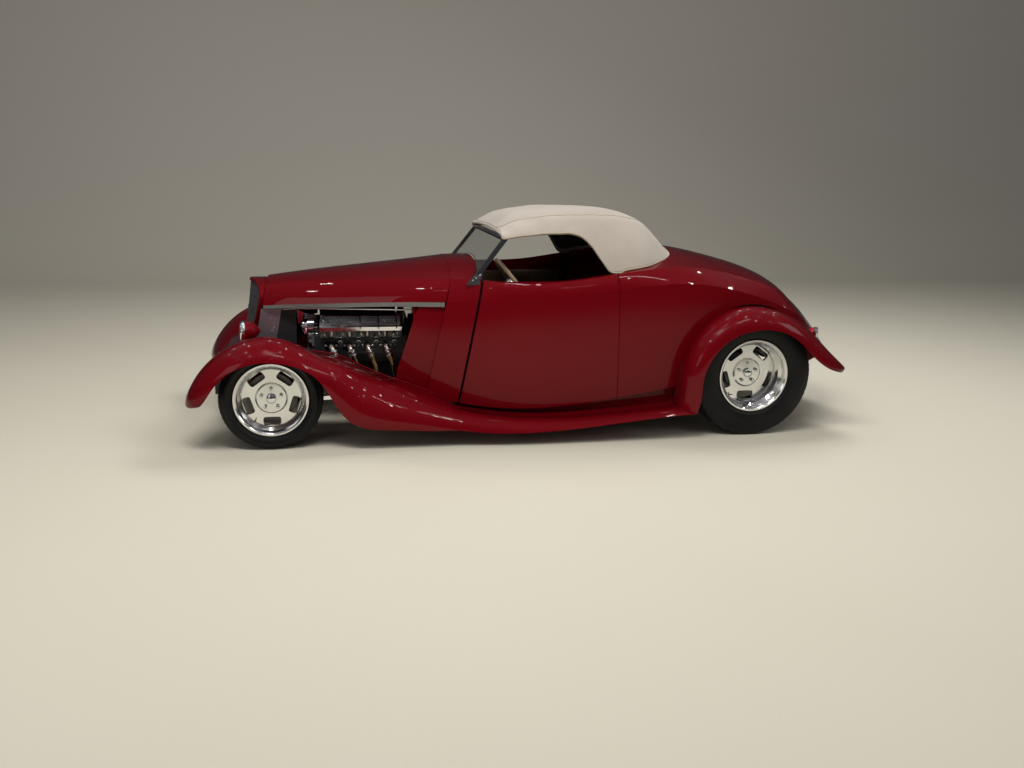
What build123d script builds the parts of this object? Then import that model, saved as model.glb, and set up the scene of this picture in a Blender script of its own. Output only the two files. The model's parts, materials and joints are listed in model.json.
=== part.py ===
import os
from math import hypot

from build123d import *

os.makedirs("parts", exist_ok=True)

# Street rod roadster. Millimetres, +Z up, front towards -X, left side towards -Y.
# Stations are distances behind the front axle; the floor is at Z = 0.

# Driving dimensions
wheelbase = 2845.0
front_axle_x = -1614.8
wall = 38.0                 # doors and body sides
deck_skin = 24.0
gap = 5.0                   # around doors and lids
door_front_gap = 14.0       # shows as a dark line
fender_skin = 8.0

front_tyre_r, front_tyre_w = 288.0, 185.0
front_rim_r, front_rim_w = 209.0, 164.0
front_wheel_y, front_recess = 630.0, 62.0
rear_tyre_r, rear_tyre_w = 371.0, 264.0
rear_rim_r, rear_rim_w = 222.0, 230.0
rear_wheel_y, rear_recess = 660.0, 110.0
kingpin_y = 560.0

rail_in, rail_out = 340.0, 392.0
floor_z, floor_t = 230.0, 10.0
trunk_floor_z = 540.0
firewall_st = 815.0
bulkhead_st = 2420.0
cabin_front_st = 1200.0
well_r = rear_tyre_r + 50.0

# Body sections, columns: station, sill z, crease z, belt z, crown z,
# sill half width, crease half width, belt half width.
body_sections = (
    (690, 300, 775, 912, 974, 440, 455, 398),
    (860, 240, 790, 926, 998, 490, 504, 446),
    (1050, 205, 805, 935, 1022, 545, 552, 500),
    (1300, 178, 822, 922, 1025, 610, 628, 598),
    (1700, 190, 848, 932, 1035, 655, 680, 652),
    (2060, 240, 897, 985, 1065, 672, 700, 660),
    (2450, 300, 920, 1010, 1088, 672, 700, 610),
    (2800, 335, 862, 950, 1026, 640, 672, 560),
    (3130, 360, 743, 834, 916, 590, 612, 500),
    (3280, 386, 664, 745, 822, 548, 532, 340),
    (3420, 406, 570, 632, 712, 450, 378, 270),
    (3550, 394, 444, 497, 583, 322, 296, 212),
    (3640, 380, 398, 428, 474, 190, 176, 140),
    (3690, 370, 377, 385, 396, 92, 86, 76),
)
# Hood sections, columns: station, edge z, shoulder z, crown z, edge half width,
# shoulder half width.
hood_sections = (
    (-90, 743, 858, 889, 207, 160),
    (320, 772, 903, 941, 340, 280),
    (700, 792, 922, 981, 452, 395),
    (1080, 807, 937, 1025, 560, 508),
)
# Front fender sections, columns: lip station, lip z, lip half width, crest station,
# crest z, crest half width, inner half width, drop of the inner edge below the crest.
front_fender_sections = (
    (-398, 266, 742, -440, 254, 640, 520, 20),
    (-358, 296, 788, -459, 284, 642, 436, 52),
    (-285, 400, 812, -391, 428, 648, 400, 62),
    (-168, 492, 822, -240, 570, 650, 395, 66),
    (-5, 524, 825, -10, 636, 650, 395, 64),
    (165, 487, 822, 205, 556, 650, 395, 48),
    (285, 388, 820, 400, 470, 652, 395, 14),
    (360, 262, 816, 520, 408, 654, 405, 10),
    (455, 158, 812, 650, 356, 658, 440, 10),
    (640, 119, 808, 800, 298, 664, 482, -3),
    (850, 107, 806, 930, 247, 672, 512, -4),
    (958, 104, 805, 1000, 219, 676, 526, 4),
    (1066, 100, 806, 1066, 192, 680, 535, 10),
)
# Rear fender sections, same columns.
rear_fender_sections = (
    (2464, 166, 850, 2376, 196, 760, 632, 12),
    (2487, 350, 858, 2390, 384, 750, 600, 20),
    (2535, 500, 864, 2452, 572, 742, 570, 30),
    (2645, 612, 868, 2590, 722, 735, 560, 40),
    (2845, 668, 868, 2845, 788, 728, 550, 40),
    (3060, 608, 862, 3115, 696, 722, 520, 38),
    (3190, 496, 850, 3270, 574, 716, 480, 34),
    (3330, 406, 826, 3400, 458, 706, 440, 26),
    (3408, 382, 790, 3458, 411, 694, 452, 18),
    (3444, 374, 742, 3478, 394, 684, 545, 10),
)
# Running board sections, columns: station, inner z, crest z, lip z, inner half width,
# crest half width, lip half width.
board_sections = (
    (1066, 184, 192, 100, 487, 680, 806),
    (1450, 150, 142, 80, 574, 715, 832),
    (1950, 160, 154, 120, 617, 735, 846),
    (2470, 205, 200, 164, 628, 750, 850),
)
# Soft top sections, columns: station, foot z, shoulder z, crown z, foot half width,
# shoulder half width.
top_sections = (
    (1322, 1150, 1204, 1222, 562, 500),
    (1400, 1120, 1250, 1286, 582, 472),
    (1560, 1060, 1286, 1326, 612, 456),
    (1750, 1000, 1300, 1340, 640, 452),
    (1960, 940, 1302, 1334, 655, 450),
    (2110, 900, 1290, 1322, 660, 444),
    (2200, 890, 1260, 1292, 650, 438),
    (2300, 880, 1172, 1214, 588, 416),
    (2400, 880, 1074, 1130, 505, 374),
    (2490, 880, 1010, 1072, 420, 330),
)


def X(station):
    return front_axle_x + station


def station_plane(station):
    # A cross plane of the car: sketch x is +Y, sketch y is +Z.
    return Plane(origin=(X(station), 0, 0), x_dir=(0, 1, 0), z_dir=(1, 0, 0))


def bowed(p, q, bow):
    # Point beside the middle of p-q, to the right of the way from p to q.
    length = hypot(q[0] - p[0], q[1] - p[1])
    nx, ny = (q[1] - p[1]) / length, -(q[0] - p[0]) / length
    bow = min(bow, length * 0.08)
    return ((p[0] + q[0]) / 2 + nx * bow, (p[1] + q[1]) / 2 + ny * bow)


def body_form(inset, top_inset, sill_drop):
    # Closed form of the body, moved in by the insets; its sill may be dropped.
    with BuildPart() as form:
        for station, sill, crease, belt, crown, w_sill, w_crease, w_belt in body_sections:
            a = (w_sill - inset, sill - sill_drop)
            b = (w_crease - inset, crease - top_inset / 2)
            c = (w_belt - inset, belt - top_inset)
            if belt - top_inset < sill - sill_drop + 8:
                continue
            with BuildSketch(station_plane(station)):
                with BuildLine():
                    Line((-a[0], a[1]), a)
                    ThreePointArc(a, bowed(a, b, 12), b)
                    ThreePointArc(b, bowed(b, c, 5), c)
                    ThreePointArc(c, (0, crown - top_inset), (-c[0], c[1]))
                    m = bowed(b, c, 5)
                    ThreePointArc((-c[0], c[1]), (-m[0], m[1]), (-b[0], b[1]))
                    m = bowed(a, b, 12)
                    ThreePointArc((-b[0], b[1]), (-m[0], m[1]), (-a[0], a[1]))
                make_face()
        loft()
    return form.part


def hood_form(inset, edge_drop):
    with BuildPart() as form:
        for station, edge, shoulder, crown, w_edge, w_shoulder in hood_sections:
            a = (w_edge - inset, edge - edge_drop)
            b = (w_shoulder - inset, shoulder - inset)
            with BuildSketch(station_plane(station)):
                with BuildLine():
                    Line((-a[0], a[1]), a)
                    ThreePointArc(a, bowed(a, b, 10), b)
                    ThreePointArc(b, (0, crown - inset), (-b[0], b[1]))
                    m = bowed(a, b, 10)
                    ThreePointArc((-b[0], b[1]), (-m[0], m[1]), (-a[0], a[1]))
                make_face()
        loft()
    return form.part


def top_form(inset, foot_drop):
    with BuildPart() as form:
        for station, foot, shoulder, crown, w_foot, w_shoulder in top_sections:
            a = (w_foot - inset, foot - foot_drop)
            b = (w_shoulder - inset, shoulder - inset)
            with BuildSketch(station_plane(station)):
                with BuildLine():
                    Line((-a[0], a[1]), a)
                    ThreePointArc(a, bowed(a, b, 26), b)
                    ThreePointArc(b, (0, crown - inset), (-b[0], b[1]))
                    m = bowed(a, b, 26)
                    ThreePointArc((-b[0], b[1]), (-m[0], m[1]), (-a[0], a[1]))
                make_face()
        loft()
    return form.part


def side_prism(points, y0, y1):
    # Polygon of (station, z) points, extruded from y0 to y1.
    with BuildPart() as prism:
        with BuildSketch(Plane.XZ.offset(-y0)):
            with BuildLine():
                Polyline(*[(X(s), z) for s, z in points], close=True)
            make_face()
        extrude(amount=y0 - y1)
    return prism.part


def plan_prism(points, z0, z1):
    # Polygon of (station, y) points, extruded from z0 to z1.
    with BuildPart() as prism:
        with BuildSketch(Plane.XY.offset(z0)):
            with BuildLine():
                Polyline(*[(X(s), y) for s, y in points], close=True)
            make_face()
        extrude(amount=z1 - z0)
    return prism.part


def fender_form(sections):
    # Left fender skin: a crescent from the inner edge over the crest to the lip.
    t = fender_skin
    with BuildPart() as form:
        for lip_st, lip_z, w_lip, crest_st, crest_z, w_crest, w_in, drop in sections:
            rise = hypot(crest_st - lip_st, crest_z - lip_z)
            dx, dz = (crest_st - lip_st) / rise, (crest_z - lip_z) / rise
            plane = Plane(origin=(X(lip_st), 0, lip_z), x_dir=(0, -1, 0), z_dir=(-dz, 0, dx))
            span = w_lip - w_crest
            reach = w_crest - w_in
            sag = drop * 0.5 - reach * 0.04
            with BuildSketch(plane):
                with BuildLine():
                    ThreePointArc((w_lip, 0), (w_crest + 0.76 * span, 0.68 * rise), (w_crest, rise))
                    ThreePointArc((w_crest, rise), (w_crest - reach / 2, rise - sag), (w_in, rise - drop))
                    Line((w_in, rise - drop), (w_in, rise - drop - t))
                    ThreePointArc((w_in, rise - drop - t), (w_crest - reach / 2, rise - sag - t),
                                  (w_crest, rise - t))
                    ThreePointArc((w_crest, rise - t),
                                  (w_crest + 0.76 * span - 0.72 * t, 0.68 * rise - 0.72 * t),
                                  (w_lip - t, 0))
                    Line((w_lip - t, 0), (w_lip, 0))
                make_face()
        loft()
    return form.part


def write(builder, name):
    builder.part.label = name
    export_step(builder.part, "parts/" + name + ".step")


# Slanted seams, as (station at z = 0, stations gained for each mm of height).
cowl_seam = (905 - 0.2132 * 340, 0.2132)
shell_seam = (-60 - 0.19 * 745, 0.19)
door_front = (1078 - 0.1824 * 245, 0.1824)
door_rear = (2019 + 0.0324 * 238, -0.0324)
lid_front_st, lid_rear_st, lid_rear_z = 2600.0, 3440.0, 694.0
lid_half, lid_tail = 350.0, 110.0
tail_closed_st = 3640.0


def seam(line, z, shift=0.0):
    return (line[0] + line[1] * z + shift, z)


outer_body = body_form(0, 0, 0)
inner_body = body_form(wall, deck_skin, 60)
hood_outer = hood_form(0, 0)

cabin_opening = plan_prism(
    ((cabin_front_st, -543), (1300, -584), (1700, -638), (2012, -644), (2060, -626), (2200, -588),
     (2300, -516), (2395, -412), (2395, 412), (2300, 516), (2200, 588), (2060, 626), (2012, 644),
     (1700, 638), (1300, 584), (cabin_front_st, 543)), 860, 1500)

# Cowl with the recessed sides and the firewall
with BuildPart() as cowl:
    add(outer_body)
    add(inner_body, mode=Mode.SUBTRACT)
    add(side_prism((seam(cowl_seam, 100), seam(door_front, 100, -gap / 2), seam(door_front, 910, -gap / 2),
                    seam(door_front, 960, -gap / 2), seam(door_front, 1200, -gap / 2),
                    seam(cowl_seam, 1200)),
                   -900, 900), mode=Mode.INTERSECT)
recess_outer = body_form(24, 52, 0)
recess_inner = body_form(32, 62, 60)
recess_side = side_prism(((690, 180), (722, 390), (842, 775), (860, 1000), (1100, 1000), (1000, 180)),
                         -900, 900)
ledge_line = ((704, 319), (800, 287), (884, 256))
tunnel_half, tunnel_top = 170.0, 500.0
firewall_plate = side_prism(((firewall_st, floor_z + floor_t), (firewall_st + 10, floor_z + floor_t),
                             (firewall_st + 10, 990), (firewall_st, 990)), -900, 900)
tunnel_hole = side_prism(((700, 200), (900, 200), (900, tunnel_top), (700, tunnel_top)),
                         -tunnel_half - 8, tunnel_half + 8)
with BuildPart() as recess:
    add(recess_outer)
    add(recess_inner, mode=Mode.SUBTRACT)
    add(recess_side, mode=Mode.INTERSECT)
    for y0, y1 in ((-506, -412), (412, 506)):
        add(side_prism(ledge_line + tuple((s, z - 5) for s, z in reversed(ledge_line)), y0, y1))
with BuildPart() as firewall:
    add(body_form(30, 60, 0))
    add(firewall_plate, mode=Mode.INTERSECT)
    add(tunnel_hole, mode=Mode.SUBTRACT)
with BuildPart() as cowl_whole:
    add(cowl.part)
    add(recess.part)
    add(firewall.part)
write(cowl_whole, "cowl")

# Rear body: quarters, bulkhead, deck shell and wheel wells
well_axis = Plane(origin=(X(wheelbase), 0, rear_tyre_r), x_dir=(1, 0, 0), z_dir=(0, 1, 0))
with BuildPart() as wells:
    for y0, y1 in ((-900, -500), (500, 900)):
        with BuildSketch(well_axis.offset(y0)):
            Circle(well_r)
        extrude(amount=y1 - y0)
with BuildPart() as tubs:
    for y0, y1 in ((-900, -492), (492, 900)):
        with BuildSketch(well_axis.offset(y0)):
            Circle(well_r + 8)
        extrude(amount=y1 - y0)
    add(outer_body, mode=Mode.INTERSECT)
    add(wells.part, mode=Mode.SUBTRACT)
    add(side_prism(((2300, 100), (2300, trunk_floor_z), (3400, trunk_floor_z), (3400, 100)), -900, 900),
        mode=Mode.SUBTRACT)
with BuildPart() as rear_hollow:
    # The hollow stops short of the tail, so the tail is closed.
    add(inner_body)
    add(side_prism(((1500, 0), (1500, 1500), (tail_closed_st, 1500), (tail_closed_st, 0)), -900, 900),
        mode=Mode.INTERSECT)
with BuildPart() as rear_body:
    add(outer_body)
    add(rear_hollow.part, mode=Mode.SUBTRACT)
    add(side_prism((seam(door_rear, 100, gap / 2), seam(door_rear, 1500, gap / 2), (3760, 1500),
                    (3760, 100)), -900, 900), mode=Mode.INTERSECT)
    add(cabin_opening, mode=Mode.SUBTRACT)
    add(wells.part, mode=Mode.SUBTRACT)
with BuildPart() as bulkhead:
    add(body_form(wall - 2, deck_skin - 2, 60))
    add(side_prism(((bulkhead_st, trunk_floor_z + 10), (bulkhead_st, 1200), (bulkhead_st + 20, 1200),
                    (bulkhead_st + 20, trunk_floor_z + 10)), -900, 900), mode=Mode.INTERSECT)

def lid_region(inset):
    # Space of the deck lid: its sides draw in towards the tail.
    rear = lid_rear_st - inset * 1.3
    with BuildPart() as region:
        add(side_prism(((lid_front_st + inset, 500), (lid_front_st + inset, 1200),
                        (rear + 0.62 * 400, lid_rear_z + 0.78 * 400),
                        (rear - 0.62 * 250, lid_rear_z - 0.78 * 250)), -lid_half, lid_half))
        add(plan_prism(((lid_front_st - 50, inset - lid_half), (3050, inset - lid_half),
                        (3700, inset - lid_tail), (3700, lid_tail - inset),
                        (3050, lid_half - inset), (lid_front_st - 50, lid_half - inset)), 400, 1300),
            mode=Mode.INTERSECT)
    return region.part


with BuildPart() as rear_whole:
    add(rear_body.part)
    add(tubs.part)
    add(bulkhead.part)
    add(lid_region(0), mode=Mode.SUBTRACT)
write(rear_whole, "rear_body")

# Deck lid
with BuildPart() as deck_lid:
    add(outer_body)
    add(inner_body, mode=Mode.SUBTRACT)
    add(lid_region(gap), mode=Mode.INTERSECT)
write(deck_lid, "deck_lid")

# Doors, each as thick as the body side
with BuildPart() as door_left:
    add(outer_body)
    add(inner_body, mode=Mode.SUBTRACT)
    add(side_prism((seam(door_front, 100, door_front_gap - gap / 2),
                    seam(door_front, 1200, door_front_gap - gap / 2),
                    seam(door_rear, 1200, -gap / 2), seam(door_rear, 100, -gap / 2)),
                   -900, -300), mode=Mode.INTERSECT)
    add(cabin_opening, mode=Mode.SUBTRACT)
write(door_left, "door_left")
with BuildPart() as door_right:
    mirror(door_left.part, about=Plane.XZ)
write(door_right, "door_right")

# Fenders and running boards
front_skin = fender_form(front_fender_sections)
rear_skin = fender_form(rear_fender_sections)


def inner_edge(row):
    # Station and height of a section's inner edge.
    lip_st, lip_z, w_lip, crest_st, crest_z, w_crest, w_in, drop = row
    rise = hypot(crest_st - lip_st, crest_z - lip_z)
    k = (rise - drop - fender_skin / 2) / rise
    return (lip_st + k * (crest_st - lip_st), lip_z + k * (crest_z - lip_z))


with BuildPart() as fender_front_left:
    add(front_skin)
    add(side_prism([inner_edge(row) for row in front_fender_sections[2:8]] + [(450, 300), (-200, 300)],
                   -402, -392))
    add(cowl_whole.part, mode=Mode.SUBTRACT)
write(fender_front_left, "fender_front_left")
with BuildPart() as fender_front_right:
    mirror(fender_front_left.part, about=Plane.XZ)
write(fender_front_right, "fender_front_right")

with BuildPart() as fender_rear_left:
    add(rear_skin)
    add(outer_body, mode=Mode.SUBTRACT)
write(fender_rear_left, "fender_rear_left")
with BuildPart() as fender_rear_right:
    mirror(fender_rear_left.part, about=Plane.XZ)
write(fender_rear_right, "fender_rear_right")

# Columns: station, half width, lower z and upper z of the flange under the body side.
flange_line = ((1080, 492, 178, 200), (1300, 541, 158, 192), (1450, 575, 143, 196), (1700, 599, 146, 204),
               (1950, 618, 153, 226), (2060, 621, 160, 229), (2280, 627, 184, 262), (2400, 628, 204, 284))
with BuildPart() as flange_build:
    add(plan_prism([(s, -w - 5) for s, w, low, high in flange_line] +
                   [(s, 1 - w) for s, w, low, high in reversed(flange_line)], 120, 320))
    add(side_prism([(s, high) for s, w, low, high in flange_line] +
                   [(s, low) for s, w, low, high in reversed(flange_line)], -700, -400),
        mode=Mode.INTERSECT)
flange = flange_build.part
with BuildPart() as running_board_left:
    for station, z_in, z_crest, z_lip, w_in, w_crest, w_lip in board_sections:
        side = Plane(origin=(X(station), 0, 0), x_dir=(0, -1, 0), z_dir=(-1, 0, 0))
        with BuildSketch(side):
            with BuildLine():
                Line((w_in, z_in - 10), (w_in, z_in))
                ThreePointArc((w_in, z_in), ((w_in + w_crest) / 2, (z_in + z_crest) / 2 - 4),
                              (w_crest, z_crest))
                ThreePointArc((w_crest, z_crest), (w_lip - 26, z_lip + (z_crest - z_lip) * 0.68),
                              (w_lip, z_lip))
                Line((w_lip, z_lip), (w_lip - 10, z_lip))
                ThreePointArc((w_lip - 10, z_lip), (w_lip - 36, z_lip + (z_crest - z_lip) * 0.62 - 4),
                              (w_crest, z_crest - 10))
                ThreePointArc((w_crest, z_crest - 10), ((w_in + w_crest) / 2, (z_in + z_crest) / 2 - 14),
                              (w_in, z_in - 10))
            make_face()
    loft()
    add(side_prism(((2664, 98), (2276, 230), (2276, 400), (2664, 400)), -900, -300),
        mode=Mode.SUBTRACT)
    add(flange)
    add(fender_rear_left.part, mode=Mode.SUBTRACT)
    add(outer_body, mode=Mode.SUBTRACT)
write(running_board_left, "running_board_left")
with BuildPart() as running_board_right:
    mirror(running_board_left.part, about=Plane.XZ)
write(running_board_right, "running_board_right")

# Frame: two boxed rails with a front drop, a kick-up and crossmembers
rail_top = ((-330, 350), (560, 350), (760, floor_z), (2300, floor_z), (2560, 539), (3100, 539),
            (3260, 500), (3378, 500))
rail_low = ((3378, 442), (3290, 438), (3120, 455), (2600, 450), (2290, 140), (740, 140), (540, 255),
            (-330, 255))
with BuildPart() as frame:
    for y0, y1 in ((-rail_out, -rail_in), (rail_in, rail_out)):
        add(side_prism(rail_top + rail_low, y0, y1))
    for s0, s1, z0, z1 in ((-330, -270, 270, 330), (-140, 60, 291, 350), (1190, 1240, 206, 230),
                           (2200, 2260, 206, 230), (2640, 2700, 514, 540),
                           (3336, 3378, 445, 500)):
        add(side_prism(((s0, z0), (s1, z0), (s1, z1), (s0, z1)), -rail_in - 5, rail_in + 5))
write(frame, "frame")

# Floor with tunnel, rockers, riser and trunk floor
floor_plan = ((firewall_st, 438), (1065, 487), (1300, 555), (1700, 605), (2060, 622), (2410, 625))
with BuildPart() as floor_pan:
    add(plan_prism([(s, -y) for s, y in floor_plan] + [(s, y) for s, y in reversed(floor_plan)],
                   floor_z, floor_z + floor_t))
    for side in (-1, 1):
        add(plan_prism([(s, side * (w - 2)) for s, w, low, high in flange_line[:-1]] +
                       [(s, side * (w - 42)) for s, w, low, high in reversed(flange_line[:-1])],
                       138, floor_z + 1))
    add(side_prism(((firewall_st, floor_z), (firewall_st, tunnel_top), (1050, tunnel_top - 40),
                    (1750, floor_z + 60), (2410, floor_z + 60), (2410, floor_z)),
                   -tunnel_half - 8, tunnel_half + 8))
    add(side_prism(((firewall_st - 1, floor_z - 20), (firewall_st - 1, tunnel_top - 8),
                    (1050, tunnel_top - 48), (1750, floor_z + 52), (2400, floor_z + 52),
                    (2400, floor_z - 20)), -tunnel_half, tunnel_half), mode=Mode.SUBTRACT)
    add(side_prism(((2400, floor_z), (2400, trunk_floor_z + 10), (2430, trunk_floor_z + 10),
                    (2430, trunk_floor_z), (2410, trunk_floor_z), (2410, floor_z)), -492, 492))
    add(plan_prism(((2410, -492), (3130, -492), (3280, -470), (3420, -330), (3420, 330), (3280, 470),
                    (3130, 492), (2410, 492)), trunk_floor_z, trunk_floor_z + 10))
    add(frame.part, mode=Mode.SUBTRACT)
    add(running_board_left.part, mode=Mode.SUBTRACT)
    add(running_board_right.part, mode=Mode.SUBTRACT)
write(floor_pan, "floor_pan")

# Hood top, a skin hinged at its front edge
hood_t = 10.0
hood_region = side_prism((seam(shell_seam, 600, gap), seam(shell_seam, 1200, gap),
                          seam(cowl_seam, 1200, -gap), seam(cowl_seam, 600, -gap)), -900, 900)
with BuildPart() as hood_top:
    add(hood_outer)
    add(hood_form(hood_t, 60), mode=Mode.SUBTRACT)
    add(hood_region, mode=Mode.INTERSECT)
write(hood_top, "hood_top")

# Grille shell: raked shield outline with a V-shaped front
# Columns: z, half width of the shell.
shield = ((548, 92), (620, 150), (700, 194), (790, 212), (858, 168))
shell_t = 16.0
grille_rake = 0.13


def shield_prism(inset, s0, s1):
    # The shield outline as a prism along X between two stations.
    pts = [(half - inset, z) for z, half in shield]
    low, high = shield[0][0] - 10 + inset, 888 - inset
    pts[0] = (pts[0][0], shield[0][0] + inset)
    with BuildPart() as prism:
        with BuildSketch(station_plane(s0)):
            with BuildLine():
                ThreePointArc((-pts[0][0], pts[0][1]), (0, low), pts[0])
                Line(pts[0], pts[1])
                ThreePointArc(pts[1], bowed(pts[1], pts[3], 9), pts[3])
                ThreePointArc(pts[3], bowed(pts[3], pts[4], 8), pts[4])
                ThreePointArc(pts[4], (0, high), (-pts[4][0], pts[4][1]))
                m = bowed(pts[3], pts[4], 8)
                ThreePointArc((-pts[4][0], pts[4][1]), (-m[0], m[1]), (-pts[3][0], pts[3][1]))
                m = bowed(pts[1], pts[3], 9)
                ThreePointArc((-pts[3][0], pts[3][1]), (-m[0], m[1]), (-pts[1][0], pts[1][1]))
                Line((-pts[1][0], pts[1][1]), (-pts[0][0], pts[0][1]))
            make_face()
        extrude(amount=s1 - s0)
    return prism.part


def nose_prism(back, sweep):
    # Region behind the raked V front: the nose line runs forward as it goes down.
    with BuildPart() as region:
        for z in (480, 960):
            nose = -136 + back - grille_rake * (883 - z)
            with BuildSketch(Plane.XY.offset(z)):
                with BuildLine():
                    Polyline((X(nose), 0), (X(nose + sweep), -260), (X(160), -260), (X(160), 260),
                             (X(nose + sweep), 260), close=True)
                make_face()
        loft(ruled=True)
    return region.part


shell_back = side_prism((seam(shell_seam, 500), seam(shell_seam, 1000), (-400, 1000), (-400, 500)),
                        -300, 300)
nose_sweep = 98.0
with BuildPart() as grille_shell:
    add(shield_prism(0, -260, 160))
    add(nose_prism(0, nose_sweep), mode=Mode.INTERSECT)
    add(shell_back, mode=Mode.INTERSECT)
    add(shield_prism(shell_t, -270, 170), mode=Mode.SUBTRACT)
write(grille_shell, "grille_shell")

# Front apron: a bent sheet over the frame horns, from fender to fender
apron_line = ((-108, 537), (-200, 516), (-286, 462), (-340, 396), (-352, 330))
with BuildPart() as front_apron:
    add(side_prism(apron_line + tuple((s + 5, z - 6) for s, z in reversed(apron_line)), -390, 390))
write(front_apron, "front_apron")

# Grille bars: a back band that carries upright bars
bar_pitch, bar_w = 13.0, 4.5
with BuildPart() as grille_bars:
    for side in (-1, 1):
        for i in range(14):
            y = side * (bar_pitch * i + bar_pitch / 2)
            with BuildSketch(Plane.XY.offset(500)):
                with Locations((X(-50), y)):
                    Rectangle(300, bar_w)
            extrude(amount=420)
    with BuildSketch(Plane.XY.offset(500)):
        with Locations((X(-50), 0)):
            Rectangle(300, 8)
    extrude(amount=420)
    for z in (600, 690, 780, 850):
        with BuildSketch(Plane.XY.offset(z)):
            with Locations((X(-50), 0)):
                Rectangle(300, 400)
        extrude(amount=6)
    add(nose_prism(8, nose_sweep), mode=Mode.INTERSECT)
    add(nose_prism(26, nose_sweep), mode=Mode.SUBTRACT)
    add(shell_back, mode=Mode.INTERSECT)
    add(shield_prism(shell_t, -270, 170), mode=Mode.INTERSECT)
write(grille_bars, "grille_bars")

# Radiator with side tanks, standing on the front crossmember
core_depth = 118.0
with BuildPart() as radiator:
    add(side_prism((seam(shell_seam, 350), seam(shell_seam, 732), seam(shell_seam, 732, core_depth - 18),
                    seam(shell_seam, 350, core_depth - 18)), -165, 165))
    for side in (-1, 1):
        add(side_prism((seam(shell_seam, 350), seam(shell_seam, 724), seam(shell_seam, 724, core_depth),
                        seam(shell_seam, 350, core_depth)),
                       min(side * 165, side * 208), max(side * 165, side * 208)))
write(radiator, "radiator")

# Fan in its shroud: a box behind the core with a round way out, and the rotor on the pump
fan_z, shroud_end = 560.0, 138.0
fan_plane = Plane(origin=(X(0), 0, 0), x_dir=(0, 1, 0), z_dir=(1, 0, 0))


def shroud_box(inset, end):
    return side_prism((seam(shell_seam, 366 + inset, core_depth), seam(shell_seam, 722 - inset, core_depth),
                       (end, 722 - inset), (end, 366 + inset)), -205 + inset, 205 - inset)


with BuildPart() as fan:
    add(shroud_box(0, shroud_end))
    add(shroud_box(7, shroud_end - 7), mode=Mode.SUBTRACT)
    with BuildSketch(fan_plane.offset(60)):
        with Locations((0, fan_z - 10)):
            Circle(148)
    extrude(amount=100, mode=Mode.SUBTRACT)
    with BuildSketch(fan_plane.offset(96)):
        with Locations((0, fan_z)):
            Circle(38)
    extrude(amount=82)
    for i in range(7):
        with BuildSketch(fan_plane.offset(104)):
            with Locations((0, fan_z)):
                with PolarLocations(84, 1, start_angle=i * 360 / 7):
                    Rectangle(104, 34)
        extrude(amount=8)
write(fan, "fan")

# Engine: block, heads, sump, intake and gearbox
crank_z, engine_front, engine_rear = 385.0, 240.0, 790.0


def cross_extrude(points, s0, s1):
    # Closed polygon of (y, z) points, extruded along X between two stations.
    with BuildPart() as bar:
        with BuildSketch(station_plane(s0)):
            with BuildLine():
                Polyline(*points, close=True)
            make_face()
        extrude(amount=s1 - s0)
    return bar.part


def tube_along_y(station, z, radius, y0, y1):
    with BuildPart() as rod:
        with BuildSketch(Plane(origin=(X(station), y0, z), x_dir=(1, 0, 0), z_dir=(0, 1, 0))):
            Circle(radius)
        extrude(amount=y1 - y0)
    return rod.part


with BuildPart() as engine_block:
    add(cross_extrude(((-120, 250), (120, 250), (150, 380), (258, 452), (258, 563), (200, 621), (100, 565),
                       (-100, 565), (-200, 621), (-258, 563), (-258, 452), (-150, 380)),
                      engine_front, engine_rear))
    add(cross_extrude(((-95, 560), (95, 560), (112, 655), (60, 712), (-60, 712), (-112, 655)), 280, 740))
    for i in range(4):
        add(cross_extrude(((-138, 580), (138, 580), (95, 684), (-95, 684)), 318 + 108 * i, 368 + 108 * i))
    add(cross_extrude(((-112, 232), (112, 232), (112, 260), (-112, 260)), 300, 760))
    with BuildSketch(station_plane(engine_rear)):
        with Locations((0, 355)):
            Circle(126)
    with BuildSketch(station_plane(engine_rear + 190)):
        with Locations((0, 325)):
            Circle(88)
    loft()
    with BuildSketch(station_plane(engine_rear + 190)):
        with Locations((0, 325)):
            Circle(88)
    with BuildSketch(station_plane(1420)):
        with Locations((0, 302)):
            Circle(54)
    loft()
    add(cross_extrude(((-40, floor_z), (40, floor_z), (40, 262), (-40, 262)), 1195, 1235))
write(engine_block, "engine_block")

# Valve covers, ribbed along their length
with BuildPart() as valve_covers:
    for side in (-1, 1):
        add(cross_extrude([(side * y, z) for y, z in ((202, 619.3), (272, 549.3), (326, 603), (330, 626),
                                                      (266, 690), (244, 688))], 274, 760))
        for i in range(5):
            add(cross_extrude([(side * y, z) for y, z in ((244, 681), (330, 616), (338, 624), (270, 698))],
                              292 + 108 * i, 300 + 108 * i))
write(valve_covers, "valve_covers")

# Exhaust headers: four swept tubes a side that end two by two in a collector
header_r = 17.0
collector_st, collector_y, collector_z = 800.0, 298.0, 186.0
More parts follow.
